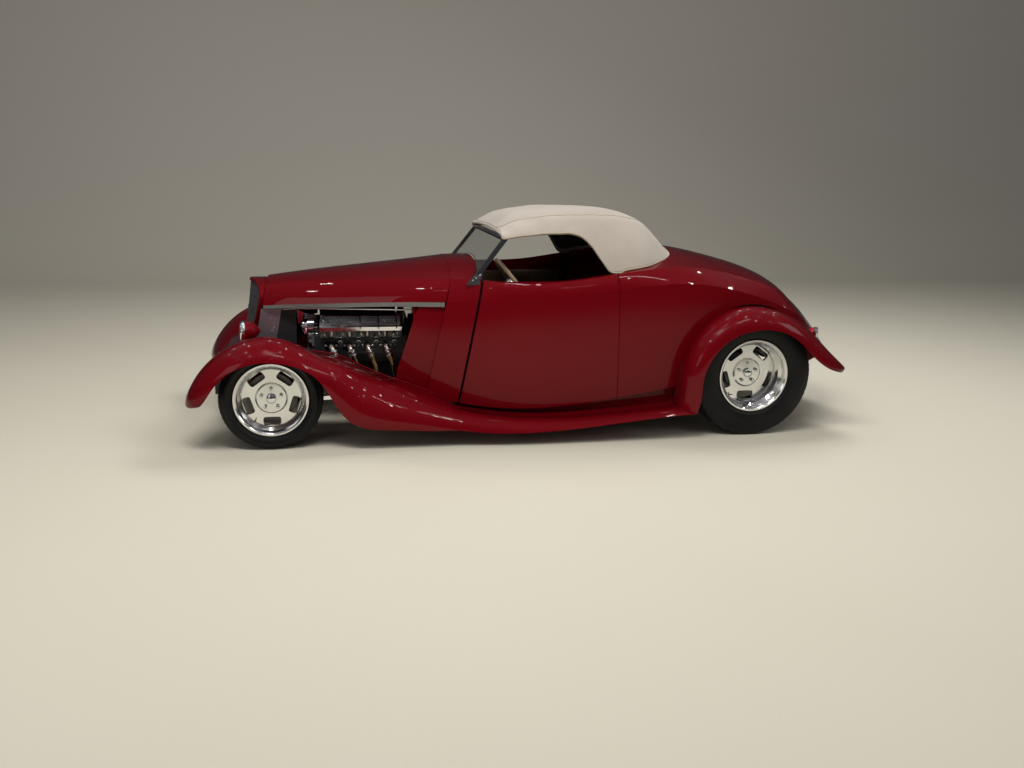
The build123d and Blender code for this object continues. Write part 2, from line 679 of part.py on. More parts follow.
# Columns: side and height of each tube's run, counted from the collector's middle.
header_runs = ((20, -20), (-20, -20), (20, 20), (-20, 20))
with BuildPart() as exhaust_headers:
    for side in (-1, 1):
        for i, (dy, dz) in enumerate(header_runs):
            port = 340 + 108 * i
            y_run, z_run = collector_y + dy, collector_z + dz
            with BuildLine() as run:
                FilletPolyline((X(port), side * 258, 505), (X(port), side * 330, 505),
                               (X(port + 42), side * 326, 400), (X(port + 66), side * y_run, 300),
                               (X(port + 84), side * y_run, z_run), (X(812), side * y_run, z_run),
                               radius=(24, 30, 30, 30))
            with BuildSketch(Plane(origin=run.line @ 0, z_dir=run.line % 0)):
                Circle(header_r)
            sweep(path=run.line)
            with BuildSketch(Plane(origin=(X(port), side * 258, 505), x_dir=(1, 0, 0), z_dir=(0, side, 0))):
                RectangleRounded(74, 54, 12)
            extrude(amount=8)
        with BuildSketch(Plane(origin=(X(collector_st - 2), side * collector_y, collector_z),
                               x_dir=(0, 1, 0), z_dir=(1, 0, 0))):
            RectangleRounded(84, 82, 30)
        extrude(amount=30)
        with BuildSketch(Plane(origin=(X(collector_st + 28), side * collector_y, collector_z),
                               x_dir=(0, 1, 0), z_dir=(1, 0, 0))):
            Circle(40)
        with BuildSketch(Plane(origin=(X(collector_st + 80), side * collector_y, collector_z),
                               x_dir=(0, 1, 0), z_dir=(1, 0, 0))):
            Circle(28)
        loft()
write(exhaust_headers, "exhaust_headers")

# Accessory drive: crank pulley, water pump, alternator and belt
pulleys = ((0, 385, 82), (0, fan_z, 68), (-205, 620, 40), (200, 585, 46), (-190, 430, 34))
with BuildPart() as accessory_drive:
    for y, z, r in pulleys:
        with BuildSketch(station_plane(178)):
            with Locations((y, z)):
                Circle(r)
        extrude(amount=26)
    for (y0, z0, r0), (y1, z1, r1) in ((pulleys[0], pulleys[1]), (pulleys[1], pulleys[2]),
                                      (pulleys[1], pulleys[3]), (pulleys[0], pulleys[4]),
                                      (pulleys[4], pulleys[2])):
        length = hypot(y1 - y0, z1 - z0)
        nx, nz = -(z1 - z0) / length, (y1 - y0) / length
        add(cross_extrude(((y0 + nx * r0, z0 + nz * r0), (y1 + nx * r1, z1 + nz * r1),
                           (y1 + nx * (r1 - 6), z1 + nz * (r1 - 6)),
                           (y0 + nx * (r0 - 6), z0 + nz * (r0 - 6))),
                          182, 200))
    with BuildSketch(station_plane(196)):
        with Locations((0, 385)):
            Circle(30)
        with Locations((0, 530)):
            Circle(58)
    extrude(amount=engine_front - 196)
    with BuildSketch(station_plane(204)):
        with Locations((-205, 620)):
            Circle(62)
        with Locations((200, 585)):
            Circle(52)
        with Locations((-190, 430)):
            Circle(48)
    extrude(amount=engine_front - 204)
    for side in (-1, 1):
        add(cross_extrude(((side * 120, 470), (side * 235, 500), (side * 222, 560), (side * 60, 540)),
                          226, engine_front))
write(accessory_drive, "accessory_drive")

# Front axle: dropped tube with transverse leaf and radius rods
axle_drop_z = 190.0
with BuildPart() as front_axle:
    with BuildLine() as beam:
        FilletPolyline((X(0), -kingpin_y + 18, front_tyre_r), (X(0), -470, front_tyre_r),
                       (X(0), -400, axle_drop_z), (X(0), 400, axle_drop_z), (X(0), 470, front_tyre_r),
                       (X(0), kingpin_y - 18, front_tyre_r), radius=60)
    with BuildSketch(Plane(origin=beam.line @ 0, z_dir=beam.line % 0)):
        Circle(25)
    sweep(path=beam.line)
    for side in (-1, 1):
        with BuildSketch(Plane.XY.offset(front_tyre_r - 28)):
            with Locations((X(0), side * kingpin_y)):
                Circle(24)
        extrude(amount=56)
        add(side_prism(((-12, 190), (12, 190), (12, 240), (-12, 240)), side * 322 - 8, side * 322 + 8))
        add(side_prism(((0, 178), (0, 202), (480, 232), (500, 255), (540, 255), (540, 222), (480, 210)),
                       side * 366 - 11, side * 366 + 11))
    with BuildSketch(Plane(origin=(X(-25), 0, 0), x_dir=(0, 1, 0), z_dir=(1, 0, 0))):
        with BuildLine():
            ThreePointArc((-330, 232), (0, 289.6), (330, 232))
            Line((330, 232), (330, 220))
            ThreePointArc((330, 220), (0, 266), (-330, 220))
            Line((-330, 220), (-330, 232))
        make_face()
    extrude(amount=50)
    for side in (-1, 1):
        with BuildSketch(Plane.XY.offset(front_tyre_r - 40)):
            with Locations((X(0), side * kingpin_y)):
                Circle(12.6)
        extrude(amount=80, mode=Mode.SUBTRACT)
write(front_axle, "front_axle")

# Steering knuckles with kingpin, spindle and brake disc
with BuildPart() as knuckle_left:
    with BuildSketch(Plane.XY.offset(front_tyre_r - 46)):
        with Locations((X(0), -kingpin_y)):
            Circle(12)
    extrude(amount=92)
    for z in (front_tyre_r - 46, front_tyre_r + 30):
        with BuildSketch(Plane.XY.offset(z)):
            with Locations((X(0), -kingpin_y - 14)):
                Rectangle(44, 62)
        extrude(amount=16)
    with BuildSketch(Plane.XZ.offset(kingpin_y + 30)):
        with Locations((X(0), front_tyre_r)):
            RectangleRounded(60, 110, 14)
    extrude(amount=16)
    with BuildSketch(Plane.XZ.offset(kingpin_y + 44)):
        with Locations((X(0), front_tyre_r)):
            Circle(138)
    extrude(amount=20)
    with BuildSketch(Plane.XZ.offset(kingpin_y + 62)):
        with Locations((X(0), front_tyre_r)):
            Circle(26)
    extrude(amount=30)
    with BuildSketch(Plane.XZ.offset(kingpin_y + 32)):
        with Locations((X(112), front_tyre_r + 20)):
            RectangleRounded(58, 120, 12)
    extrude(amount=36)
    with BuildSketch(Plane.XY.offset(front_tyre_r - 46)):
        with Locations((X(55), -kingpin_y - 10)):
            Rectangle(130, 24)
    extrude(amount=14)
write(knuckle_left, "knuckle_left")
with BuildPart() as knuckle_right:
    mirror(knuckle_left.part, about=Plane.XZ)
write(knuckle_right, "knuckle_right")

# Wheels: a five-slot cast disc in a stepped rim, and a plain tyre


def wheel_rim(station, side, y_mid, z_mid, r, w, recess):
    # Revolved barrel and disc; sketch x is radial, sketch y runs outboard.
    lip = w / 2
    face = lip - recess
    plane = Plane(origin=(X(station), side * y_mid, z_mid), x_dir=(0, 0, 1), z_dir=(-side, 0, 0))
    with BuildPart() as rim:
        with BuildSketch(plane):
            with BuildLine():
                Polyline((r - 3, lip), (r, lip - 4), (r, lip - 9), (r - 14, lip - 13), (r - 14, lip - 31),
                         (r - 34, lip - 46), (r - 34, 46 - lip), (r - 14, 31 - lip), (r - 14, 13 - lip),
                         (r, 9 - lip), (r, 4 - lip), (r - 3, -lip), (r - 12, -lip), (r - 19, 6 - lip),
                         (r - 25, 34 - lip), (r - 42, 50 - lip), (r - 42, face - 16), (94, face - 20),
                         (88, face - 14), (29, face - 14),
                         (29, face + 14), (80, face + 12), (90, face + 2), (r - 47, face + 2),
                         (r - 41, face + 11), (r - 41, max(lip - 50, face + 13)), (r - 25, lip - 34),
                         (r - 19, lip - 6), (r - 12, lip), close=True)
            make_face()
        revolve(axis=Axis((X(station), side * y_mid, z_mid), (0, 1, 0)))
        slots = Plane(origin=(X(station), side * (y_mid + face - 60), z_mid), x_dir=(side, 0, 0),
                      z_dir=(0, side, 0))
        with BuildSketch(slots):
            with PolarLocations(r * 0.64, 5, start_angle=90):
                RectangleRounded(r * 0.23, r * 0.47, r * 0.07)
        extrude(amount=120, mode=Mode.SUBTRACT)
        lugs = Plane(origin=(X(station), side * (y_mid + face + 10), z_mid), x_dir=(side, 0, 0),
                     z_dir=(0, side, 0))
        with BuildSketch(lugs):
            with PolarLocations(57.15, 5, start_angle=-90):
                RegularPolygon(11, 6)
        extrude(amount=18)
        with BuildSketch(lugs):
            Circle(27)
        extrude(amount=16)
        with BuildSketch(lugs.offset(-3)):
            Circle(31)
        extrude(amount=9)
    return rim


def wheel_tyre(station, side, y_mid, z_mid, r, w, rim_r, rim_w):
    plane = Plane(origin=(X(station), side * y_mid, z_mid), x_dir=(0, 0, 1), z_dir=(-side, 0, 0))
    h, b = w / 2, rim_w / 2 - 9
    with BuildPart() as tyre:
        with BuildSketch(plane):
            with BuildLine():
                Polyline((rim_r - 13.7, -b + 8), (rim_r + 3, -b), (rim_r + 16, -h + 6))
                ThreePointArc((rim_r + 16, -h + 6), ((rim_r + r) / 2 + 2, -h), (r - 24, -h + 12))
                ThreePointArc((r - 24, -h + 12), (r - 7, -h + 22), (r - 2, -h + 40))
                ThreePointArc((r - 2, -h + 40), (r, 0), (r - 2, h - 40))
                ThreePointArc((r - 2, h - 40), (r - 7, h - 22), (r - 24, h - 12))
                ThreePointArc((r - 24, h - 12), ((rim_r + r) / 2 + 2, h), (rim_r + 16, h - 6))
                Polyline((rim_r + 16, h - 6), (rim_r + 3, b), (rim_r - 13.7, b - 8), (rim_r - 13.7, -b + 8))
            make_face()
        revolve(axis=Axis((X(station), side * y_mid, z_mid), (0, 1, 0)))
    return tyre


for side, hand in ((-1, "left"), (1, "right")):
    write(wheel_rim(0, side, front_wheel_y, front_tyre_r, front_rim_r, front_rim_w, front_recess),
          "rim_front_" + hand)
    write(wheel_rim(wheelbase, side, rear_wheel_y, rear_tyre_r, rear_rim_r, rear_rim_w, rear_recess),
          "rim_rear_" + hand)
    write(wheel_tyre(0, side, front_wheel_y, front_tyre_r, front_tyre_r, front_tyre_w, front_rim_r,
                     front_rim_w), "tyre_front_" + hand)
    write(wheel_tyre(wheelbase, side, rear_wheel_y, rear_tyre_r, rear_tyre_r, rear_tyre_w, rear_rim_r,
                     rear_rim_w), "tyre_rear_" + hand)

# Rear axle: tubes, differential, drums and trailing links
axle_z = rear_tyre_r
with BuildPart() as rear_axle:
    add(tube_along_y(wheelbase, axle_z, 38, -560, 560))
    for y0, y1, r in ((-642, -560, 130), (560, 642, 130)):
        add(tube_along_y(wheelbase, axle_z, r, y0, y1))
    with BuildSketch(Plane(origin=(X(wheelbase), 0, axle_z), x_dir=(0, 1, 0), z_dir=(0, 0, 1))):
        with BuildLine():
            Line((-135, 0), (-60, -70))
            ThreePointArc((-60, -70), (0, -92), (60, -70))
            Polyline((60, -70), (135, 0), (-135, 0))
        make_face()
    revolve(axis=Axis((X(wheelbase), 0, axle_z), (0, 1, 0)))
    for y0, y1, r in ((-652, -640, 25), (640, 652, 25)):
        add(tube_along_y(wheelbase, axle_z, r, y0, y1))
    for side in (-1, 1):
        add(side_prism(((2290, 170), (2310, 150), (2830, 330), (2845, 300), (2860, 350), (2830, 360)),
                       min(side * 400, side * 424), max(side * 400, side * 424)))
        add(side_prism(((2275, 150), (2318, 150), (2318, 205), (2275, 205)),
                       min(side * 392, side * 424), max(side * 392, side * 424)))
        add(side_prism(((2885, 350), (2925, 350), (2925, 380), (2885, 380)),
                       side * 440 - 20, side * 440 + 20))
        with BuildSketch(Plane.XY.offset(372)):
            with Locations((X(2905), side * 440)):
                Circle(30)
        extrude(amount=150)
        add(side_prism(((2880, 500), (2930, 500), (2930, 526), (2880, 526)),
                       min(side * 392, side * 470), max(side * 392, side * 470)))
write(rear_axle, "rear_axle")

# Exhaust pipes: from the collectors through mufflers and over the axle
pipe_y = 285.0
with BuildPart() as exhaust_pipes:
    for side in (-1, 1):
        with BuildLine() as run:
            FilletPolyline((X(collector_st + 80), side * collector_y, collector_z),
                           (X(collector_st + 180), side * collector_y, collector_z),
                           (X(1250), side * pipe_y, 176),
                           (X(2450), side * pipe_y, 176), (X(2640), side * pipe_y, 484),
                           (X(3060), side * pipe_y, 484), (X(3240), side * pipe_y, 350),
                           (X(3430), side * pipe_y, 350), radius=100)
        with BuildSketch(Plane(origin=run.line @ 0, z_dir=run.line % 0)):
            Circle(26)
        sweep(path=run.line)
        with BuildSketch(Plane(origin=(X(1300), side * pipe_y, 176), x_dir=(0, 1, 0), z_dir=(1, 0, 0))):
            Ellipse(50, 44)
        extrude(amount=420)
write(exhaust_pipes, "exhaust_pipes")

# Fuel tank under the trunk floor
with BuildPart() as fuel_tank:
    with BuildSketch(Plane.XY.offset(360)):
        with Locations((X(3250), 0)):
            RectangleRounded(160, 440, 40)
    extrude(amount=180)
    fillet(fuel_tank.part.faces().sort_by(Axis.Z)[0].edges(), 18)
write(fuel_tank, "fuel_tank")

# Windshield: raked frame with flared feet, and its glass
ws_low, ws_high = (1158, 930), (1343, 1168)
ws_len = hypot(ws_high[0] - ws_low[0], ws_high[1] - ws_low[1])
ws_dx, ws_dz = (ws_high[0] - ws_low[0]) / ws_len, (ws_high[1] - ws_low[1]) / ws_len
ws_plane = Plane(origin=(X(ws_low[0]), 0, ws_low[1]), x_dir=(0, 1, 0), z_dir=(ws_dz, 0, -ws_dx))
ws_foot, ws_head = 548.0, 528.0
with BuildPart() as windshield_frame:
    with BuildSketch(ws_plane.offset(-13)):
        with BuildLine():
            Polyline((-ws_foot - 16, -14), (ws_foot + 16, -14), (ws_head + 16, ws_len + 14),
                     (-ws_head - 16, ws_len + 14), close=True)
        make_face()
        with BuildLine():
            Polyline((-ws_foot + 8, 96), (-ws_foot + 10, 30), (ws_foot - 10, 30), (ws_foot - 8, 96),
                     (ws_head - 8, ws_len - 10), (-ws_head + 8, ws_len - 10), close=True)
        make_face(mode=Mode.SUBTRACT)
    extrude(amount=26)
    for side in (-1, 1):
        add(side_prism(((1112, 908), (1190, 908), (1192, 934), (1212, 970), (1172, 964), (1132, 934)),
                       side * 556 - 14, side * 556 + 14))
    add(body_form(0.0, 0.0, 0), mode=Mode.SUBTRACT)
write(windshield_frame, "windshield_frame")

# Soft top: a padded skin with side openings and a rear window
top_t = 16.0
rear_light = ((-215, 1112), (215, 1112), (205, 1208), (-205, 1208))
light_prism = cross_extrude(rear_light, 2200, 2560)
with BuildPart() as soft_top:
    add(top_form(0, 0))
    add(top_form(top_t, 60), mode=Mode.SUBTRACT)
    add(side_prism(((1100, 700), (1100, 1172), (1340, 1172), (1440, 1188), (1560, 1200), (1725, 1205),
                    (1785, 1190), (1820, 1169), (1858, 1126), (1910, 1048), (1948, 992), (1968, 982),
                    (2012, 980), (2012, 700)), -900, 900), mode=Mode.SUBTRACT)
    add(outer_body, mode=Mode.SUBTRACT)
    add(light_prism, mode=Mode.SUBTRACT)
    add(windshield_frame.part, mode=Mode.SUBTRACT)
write(soft_top, "soft_top")

# Glazing: windshield pane and the top's rear pane
with BuildPart() as glazing:
    with BuildSketch(ws_plane.offset(-3)):
        with BuildLine():
            Polyline((-ws_foot + 8, 96), (-ws_foot + 10, 30), (ws_foot - 10, 30), (ws_foot - 8, 96),
                     (ws_head - 8, ws_len - 10), (-ws_head + 8, ws_len - 10), close=True)
        make_face()
    extrude(amount=6)
    add(outer_body, mode=Mode.SUBTRACT)
with BuildPart() as rear_pane:
    add(top_form(5, 0))
    add(top_form(9, 60), mode=Mode.SUBTRACT)
    add(light_prism, mode=Mode.INTERSECT)
with BuildPart() as panes:
    add(glazing.part)
    add(rear_pane.part)
write(panes, "glazing")

# Interior: bench seat, dash with column, steering wheel
with BuildPart() as seat:
    add(side_prism(((1790, floor_z + floor_t), (2320, floor_z + floor_t), (2392, 800), (2372, 858),
                    (2300, 850), (2215, 470), (2190, 452), (1800, 452), (1752, 420)), -545, 545))
    fillet(seat.part.edges().filter_by(Axis.Y).sort_by(Axis.Z)[2:], 18)
    add(side_prism(((1700, 200), (1700, floor_z + 60), (2500, floor_z + 60), (2500, 200)),
                   -tunnel_half - 8, tunnel_half + 8), mode=Mode.SUBTRACT)
    add(frame.part, mode=Mode.SUBTRACT)
write(seat, "seat")

wheel_st, wheel_y, wheel_z, wheel_r = 1435.0, -330.0, 891.0, 180.0
tilt_x, tilt_z = 0.794, 0.608
column_plane = Plane(origin=(X(wheel_st), wheel_y, wheel_z), x_dir=(0, 1, 0), z_dir=(tilt_x, 0, tilt_z))
with BuildPart() as steering_column:
    with BuildSketch(column_plane.offset(-60)):
        Circle(22)
    extrude(amount=-180)
    with BuildSketch(column_plane.offset(-240)):
        Circle(14)
    extrude(amount=-345)
    add(side_prism(((1196, 800), (1250, 770), (1262, 812), (1228, 850)), wheel_y - 30, wheel_y + 30))
write(steering_column, "steering_column")

with BuildPart() as dashboard:
    add(body_form(wall + 8, deck_skin - 2, 0))
    add(side_prism(((1120, 780), (1120, 1200), (1196, 1200), (1226, 985), (1232, 910), (1215, 800)),
                   -900, 900),
        mode=Mode.INTERSECT)
    add(cowl_whole.part, mode=Mode.SUBTRACT)
    add(steering_column.part, mode=Mode.SUBTRACT)
write(dashboard, "dashboard")

with BuildPart() as steering_wheel:
    with BuildSketch(Plane(origin=(X(wheel_st), wheel_y, wheel_z), x_dir=(tilt_x, 0, tilt_z),
                           z_dir=(0, 1, 0))):
        with Locations((0, wheel_r - 14)):
            Circle(14)
    revolve(axis=Axis((X(wheel_st), wheel_y, wheel_z), (tilt_x, 0, tilt_z)))
    with BuildSketch(column_plane.offset(-54)):
        Circle(34)
    extrude(amount=60)
    with BuildSketch(column_plane.offset(-6)):
        with PolarLocations(88, 3, start_angle=0):
            Rectangle(150, 26)
    extrude(amount=6)
write(steering_wheel, "steering_wheel")

# Lamps
lamp_st, lamp_y, lamp_z, lamp_r, lamp_len = -164.0, 334.0, 614.0, 57.0, 100.0
with BuildPart() as headlight_buckets:
    for side in (-1, 1):
        plane = Plane(origin=(X(lamp_st), side * lamp_y, lamp_z), x_dir=(0, 0, 1), z_dir=(0, 1, 0))
        with BuildSketch(plane):
            with BuildLine():
                Line((0, 22), (lamp_r - 8, 22))
                Line((lamp_r - 8, 22), (lamp_r - 8, 0))
                Line((lamp_r - 8, 0), (lamp_r, 0))
                Line((lamp_r, 0), (lamp_r + 4, 14))
                ThreePointArc((lamp_r + 4, 14), (lamp_r * 0.74, lamp_len * 0.68), (0, lamp_len))
                Line((0, lamp_len), (0, 22))
            make_face()
        revolve(axis=Axis((X(lamp_st), side * lamp_y, lamp_z), (1, 0, 0)))
        with BuildSketch(Plane.XY.offset(lamp_z - lamp_r - 34)):
            with Locations((X(lamp_st + 30), side * lamp_y)):
                Circle(11)
        extrude(amount=41)
    add(front_apron.part, mode=Mode.SUBTRACT)
write(headlight_buckets, "headlight_buckets")
with BuildPart() as headlight_lenses:
    for side in (-1, 1):
        plane = Plane(origin=(X(lamp_st), side * lamp_y, lamp_z), x_dir=(0, 0, 1), z_dir=(0, 1, 0))
        with BuildSketch(plane):
            with BuildLine():
                ThreePointArc((0, -13), (lamp_r * 0.5, -9), (lamp_r - 9, 3))
                Line((lamp_r - 9, 3), (lamp_r - 9, 22))
                Line((lamp_r - 9, 22), (0, 22))
                Line((0, 22), (0, -13))
            make_face()
        revolve(axis=Axis((X(lamp_st), side * lamp_y, lamp_z), (1, 0, 0)))
write(headlight_lenses, "headlight_lenses")

with BuildPart() as tail_lamps:
    for side in (-1, 1):
        plane = Plane(origin=(X(3393), side * 366, 562), x_dir=(0, 0, 1), z_dir=(0.87, side * 0.49, 0))
        with BuildSketch(plane):
            Circle(30)
        extrude(amount=62)
        with BuildSketch(plane.offset(62)):
            Circle(24)
        extrude(amount=7)
    add(outer_body, mode=Mode.SUBTRACT)
write(tail_lamps, "tail_lamps")
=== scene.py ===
import json
import math
import bpy
import numpy as np
from mathutils import Matrix, Vector
from mathutils.bvhtree import BVHTree

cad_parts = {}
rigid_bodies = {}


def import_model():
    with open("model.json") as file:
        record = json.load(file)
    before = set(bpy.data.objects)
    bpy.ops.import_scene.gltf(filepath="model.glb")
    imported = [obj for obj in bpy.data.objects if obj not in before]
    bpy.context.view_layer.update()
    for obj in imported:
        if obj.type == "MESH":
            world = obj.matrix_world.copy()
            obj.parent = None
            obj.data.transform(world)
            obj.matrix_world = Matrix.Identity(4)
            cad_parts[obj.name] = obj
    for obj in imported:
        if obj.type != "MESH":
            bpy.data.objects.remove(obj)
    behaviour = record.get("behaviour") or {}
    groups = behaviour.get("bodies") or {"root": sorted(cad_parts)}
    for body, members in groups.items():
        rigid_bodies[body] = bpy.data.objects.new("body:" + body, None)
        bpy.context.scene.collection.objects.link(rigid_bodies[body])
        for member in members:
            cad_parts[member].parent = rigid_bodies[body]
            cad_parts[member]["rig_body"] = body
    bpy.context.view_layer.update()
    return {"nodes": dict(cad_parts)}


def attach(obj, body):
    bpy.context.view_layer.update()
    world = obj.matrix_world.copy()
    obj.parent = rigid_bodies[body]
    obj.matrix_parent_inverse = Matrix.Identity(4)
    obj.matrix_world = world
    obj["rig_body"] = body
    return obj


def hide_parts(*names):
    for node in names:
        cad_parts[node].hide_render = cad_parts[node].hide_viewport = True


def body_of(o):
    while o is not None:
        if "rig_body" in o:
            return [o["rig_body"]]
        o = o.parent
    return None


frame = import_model()
nodes = frame["nodes"]
axleX = -1.6148  # front axle; a station is metres behind it
print("frame loaded", len(nodes), "nodes")


# shading helpers
def freshTree(name):
    mat = bpy.data.materials.new(name)
    mat.use_nodes = True
    tree = mat.node_tree
    tree.nodes.clear()
    out = tree.nodes.new("ShaderNodeOutputMaterial")
    bsdf = tree.nodes.new("ShaderNodeBsdfPrincipled")
    tree.links.new(bsdf.outputs["BSDF"], out.inputs["Surface"])
    return mat, tree, tree.nodes.new("ShaderNodeTexCoord").outputs["Object"]


def addNode(tree, kind, inputs=None, **settings):
    node = tree.nodes.new("ShaderNode" + kind)
    for key, value in settings.items():
        setattr(node, key, value)
    for key, value in (inputs or {}).items():
        if isinstance(value, bpy.types.NodeSocket):
            tree.links.new(value, node.inputs[key])
        else:
            node.inputs[key].default_value = value
    return node


def noiseOf(tree, vector, scale, detail=3.0, rough=0.5, distort=0.0):
    return addNode(tree, "TexNoise", {"Vector": vector, "Scale": scale, "Detail": detail, "Roughness": rough,
                                      "Distortion": distort}).outputs["Fac"]


def bandsOf(tree, vector, scale, axis, distort=0.0):
    return addNode(tree, "TexWave", {"Vector": vector, "Scale": scale, "Distortion": distort, "Detail": 1.0},
                   bands_direction=axis).outputs["Fac"]


def cellsOf(tree, vector, scale, output="Distance", **settings):
    return addNode(tree, "TexVoronoi", {"Vector": vector, "Scale": scale}, **settings).outputs[output]


def mathOf(tree, operation, one, two=0.0, **settings):
    return addNode(tree, "Math", {0: one, 1: two}, operation=operation, **settings).outputs["Value"]


def partOf(tree, vector, axis):
    return addNode(tree, "SeparateXYZ", {"Vector": vector}).outputs[axis]


def ramp(tree, value, low, high, fromLow=0.3, fromHigh=0.7):
    return addNode(tree, "MapRange", {"Value": value, "From Min": fromLow, "From Max": fromHigh,
                                      "To Min": low, "To Max": high}).outputs["Result"]


def mixColours(tree, fac, one, two):
    node = addNode(tree, "Mix", data_type="RGBA")
    for key, value in (("Factor", fac), ("A", one), ("B", two)):
        socket = [s for s in node.inputs if s.name == key and s.type in ("RGBA", "VALUE") and s.enabled][-1]
        if isinstance(value, bpy.types.NodeSocket):
            tree.links.new(value, socket)
        else:
            socket.default_value = (*value, 1.0)
    return [s for s in node.outputs if s.type == "RGBA"][0]


def shaded(tone, share):
    return tuple(min(1.0, c * share) for c in tone)


# links colour, roughness and bump (height, strength, distance) to the surface and sets its other sockets
def surfaced(mat, colour, rough=None, bump=None, **values):
    tree = mat.node_tree
    bsdf = next(node for node in tree.nodes if node.type == "BSDF_PRINCIPLED")
    tree.links.new(colour, bsdf.inputs["Base Color"])
    if rough:
        tree.links.new(rough, bsdf.inputs["Roughness"])
    if bump:
        height, strength, distance = bump
        normal = addNode(tree, "Bump", {"Height": height, "Strength": strength, "Distance": distance})
        tree.links.new(normal.outputs["Normal"], bsdf.inputs["Normal"])
    for key, value in values.items():
        bsdf.inputs[key.replace("_", " ")].default_value = value
    return mat


# general rigid finish: tone drifts over the piece, gloss varies, a fine grain in the bump
def rigidFinish(name, tone, metallic=0.0, rough=0.4, drift=0.10, gloss=0.08, grainScale=900.0, grain=0.06,
                grime=0.0, coat=0.0, coatRough=0.03, stretch=(1, 1, 1)):
    mat, tree, vector = freshTree(name)
    broad = noiseOf(tree, vector, 3.2, 4.0, 0.55)
    vector = addNode(tree, "Mapping", {"Vector": vector, "Scale": stretch}).outputs["Vector"]
    fine = noiseOf(tree, vector, grainScale, 2.0)
    mid = noiseOf(tree, vector, 28.0, 5.0, 0.6)
    colour = mixColours(tree, ramp(tree, broad, 0, 1), shaded(tone, 1 - drift), shaded(tone, 1 + drift))
    if grime:
        colour = mixColours(tree, ramp(tree, mid, 0.0, grime, 0.5, 0.75), colour, shaded(tone, 0.45))
    return surfaced(mat, colour, ramp(tree, mid, max(0.02, rough - gloss), rough + gloss), (fine, grain, 0.0004),
                    Metallic=metallic, Coat_Weight=coat, Coat_Roughness=coatRough)


paintLook = {"deep": (0.060, 0.0003, 0.0020), "lit": (0.155, 0.0007, 0.0042), "drift": (0.085, 0.0005, 0.0028),
             "metallic": 0.10, "rough": (0.29, 0.46)}


# candy paint: deep red that lightens where it faces the eye, tiny flakes, clear coat with faint orange peel
def paintFinish():
    mat, tree, vector = freshTree("candyRed")
    facing = addNode(tree, "LayerWeight", {"Blend": 0.35}).outputs["Facing"]
    flakes = cellsOf(tree, vector, 1400.0, "Color")
    sparkle = addNode(tree, "SeparateColor", {"Color": flakes}).outputs["Red"]
    colour = mixColours(tree, facing, paintLook["lit"], paintLook["deep"])
    colour = mixColours(tree, ramp(tree, noiseOf(tree, vector, 1.6), 0.0, 0.12), colour, paintLook["drift"])
    return surfaced(mat, colour, ramp(tree, sparkle, *paintLook["rough"], 0, 1),
                    (noiseOf(tree, vector, 260.0, 1.0), 0.012, 0.0006), Metallic=paintLook["metallic"],
                    Coat_Weight=1.0, Coat_Roughness=0.012, Coat_IOR=1.26, Specular_IOR_Level=0.05)


# plated and polished metal: bright, with faint swirl and a little haze
def platedFinish(name, tone, rough, haze=0.03, swirl=0.02, metallic=1.0):
    mat, tree, vector = freshTree(name)
    cloud = noiseOf(tree, vector, 14.0, 4.0, 0.6)
    hair = noiseOf(tree, vector, 420.0, 2.0, 0.5, 1.5)
    colour = mixColours(tree, ramp(tree, cloud, 0, 1), shaded(tone, 0.94), tone)
    return surfaced(mat, colour, ramp(tree, cloud, max(0.01, rough - haze), rough + haze), (hair, swirl, 0.0002),
                    Metallic=metallic)


# turned alloy: fine rings about the wheel's own axis, drawn from the distance to that axis
def turnedFinish(name, tone, centre, rough=0.16):
    mat, tree, vector = freshTree(name)
    cloud = noiseOf(tree, vector, 9.0)
    vector = addNode(tree, "Mapping", {"Vector": vector, "Location": (-centre[0], 0, -centre[2]),
                                       "Scale": (1, 0, 1)}).outputs["Vector"]
    radius = addNode(tree, "VectorMath", {0: vector}, operation="LENGTH").outputs["Value"]
    rings = addNode(tree, "TexNoise", {"W": radius, "Scale": 900.0, "Detail": 3.0}, noise_dimensions="1D")
    rings = rings.outputs["Fac"]
    return surfaced(mat, mixColours(tree, ramp(tree, cloud, 0, 1), shaded(tone, 0.9), tone),
                    ramp(tree, rings, rough - 0.07, rough + 0.09), (rings, 0.10, 0.00025), Metallic=1.0)


def rubberFinish(name="tyreRubber"):
    mat, tree, vector = freshTree(name)
    dust = noiseOf(tree, vector, 6.0, 5.0, 0.6)
    colour = mixColours(tree, ramp(tree, dust, 0, 1, 0.42, 0.75), (0.0060, 0.0060, 0.0068),
                        (0.0125, 0.012, 0.0118))
    return surfaced(mat, colour, ramp(tree, dust, 0.36, 0.54), (noiseOf(tree, vector, 700.0), 0.25, 0.0004),
                    Specular_IOR_Level=0.20)


canvasLook = {"light": (0.470, 0.420, 0.362), "dark": (0.370, 0.328, 0.276), "threads": 620.0,
              "fleck": (0.33, 0.275, 0.21), "weave": (0.25, 0.20, 0.15)}


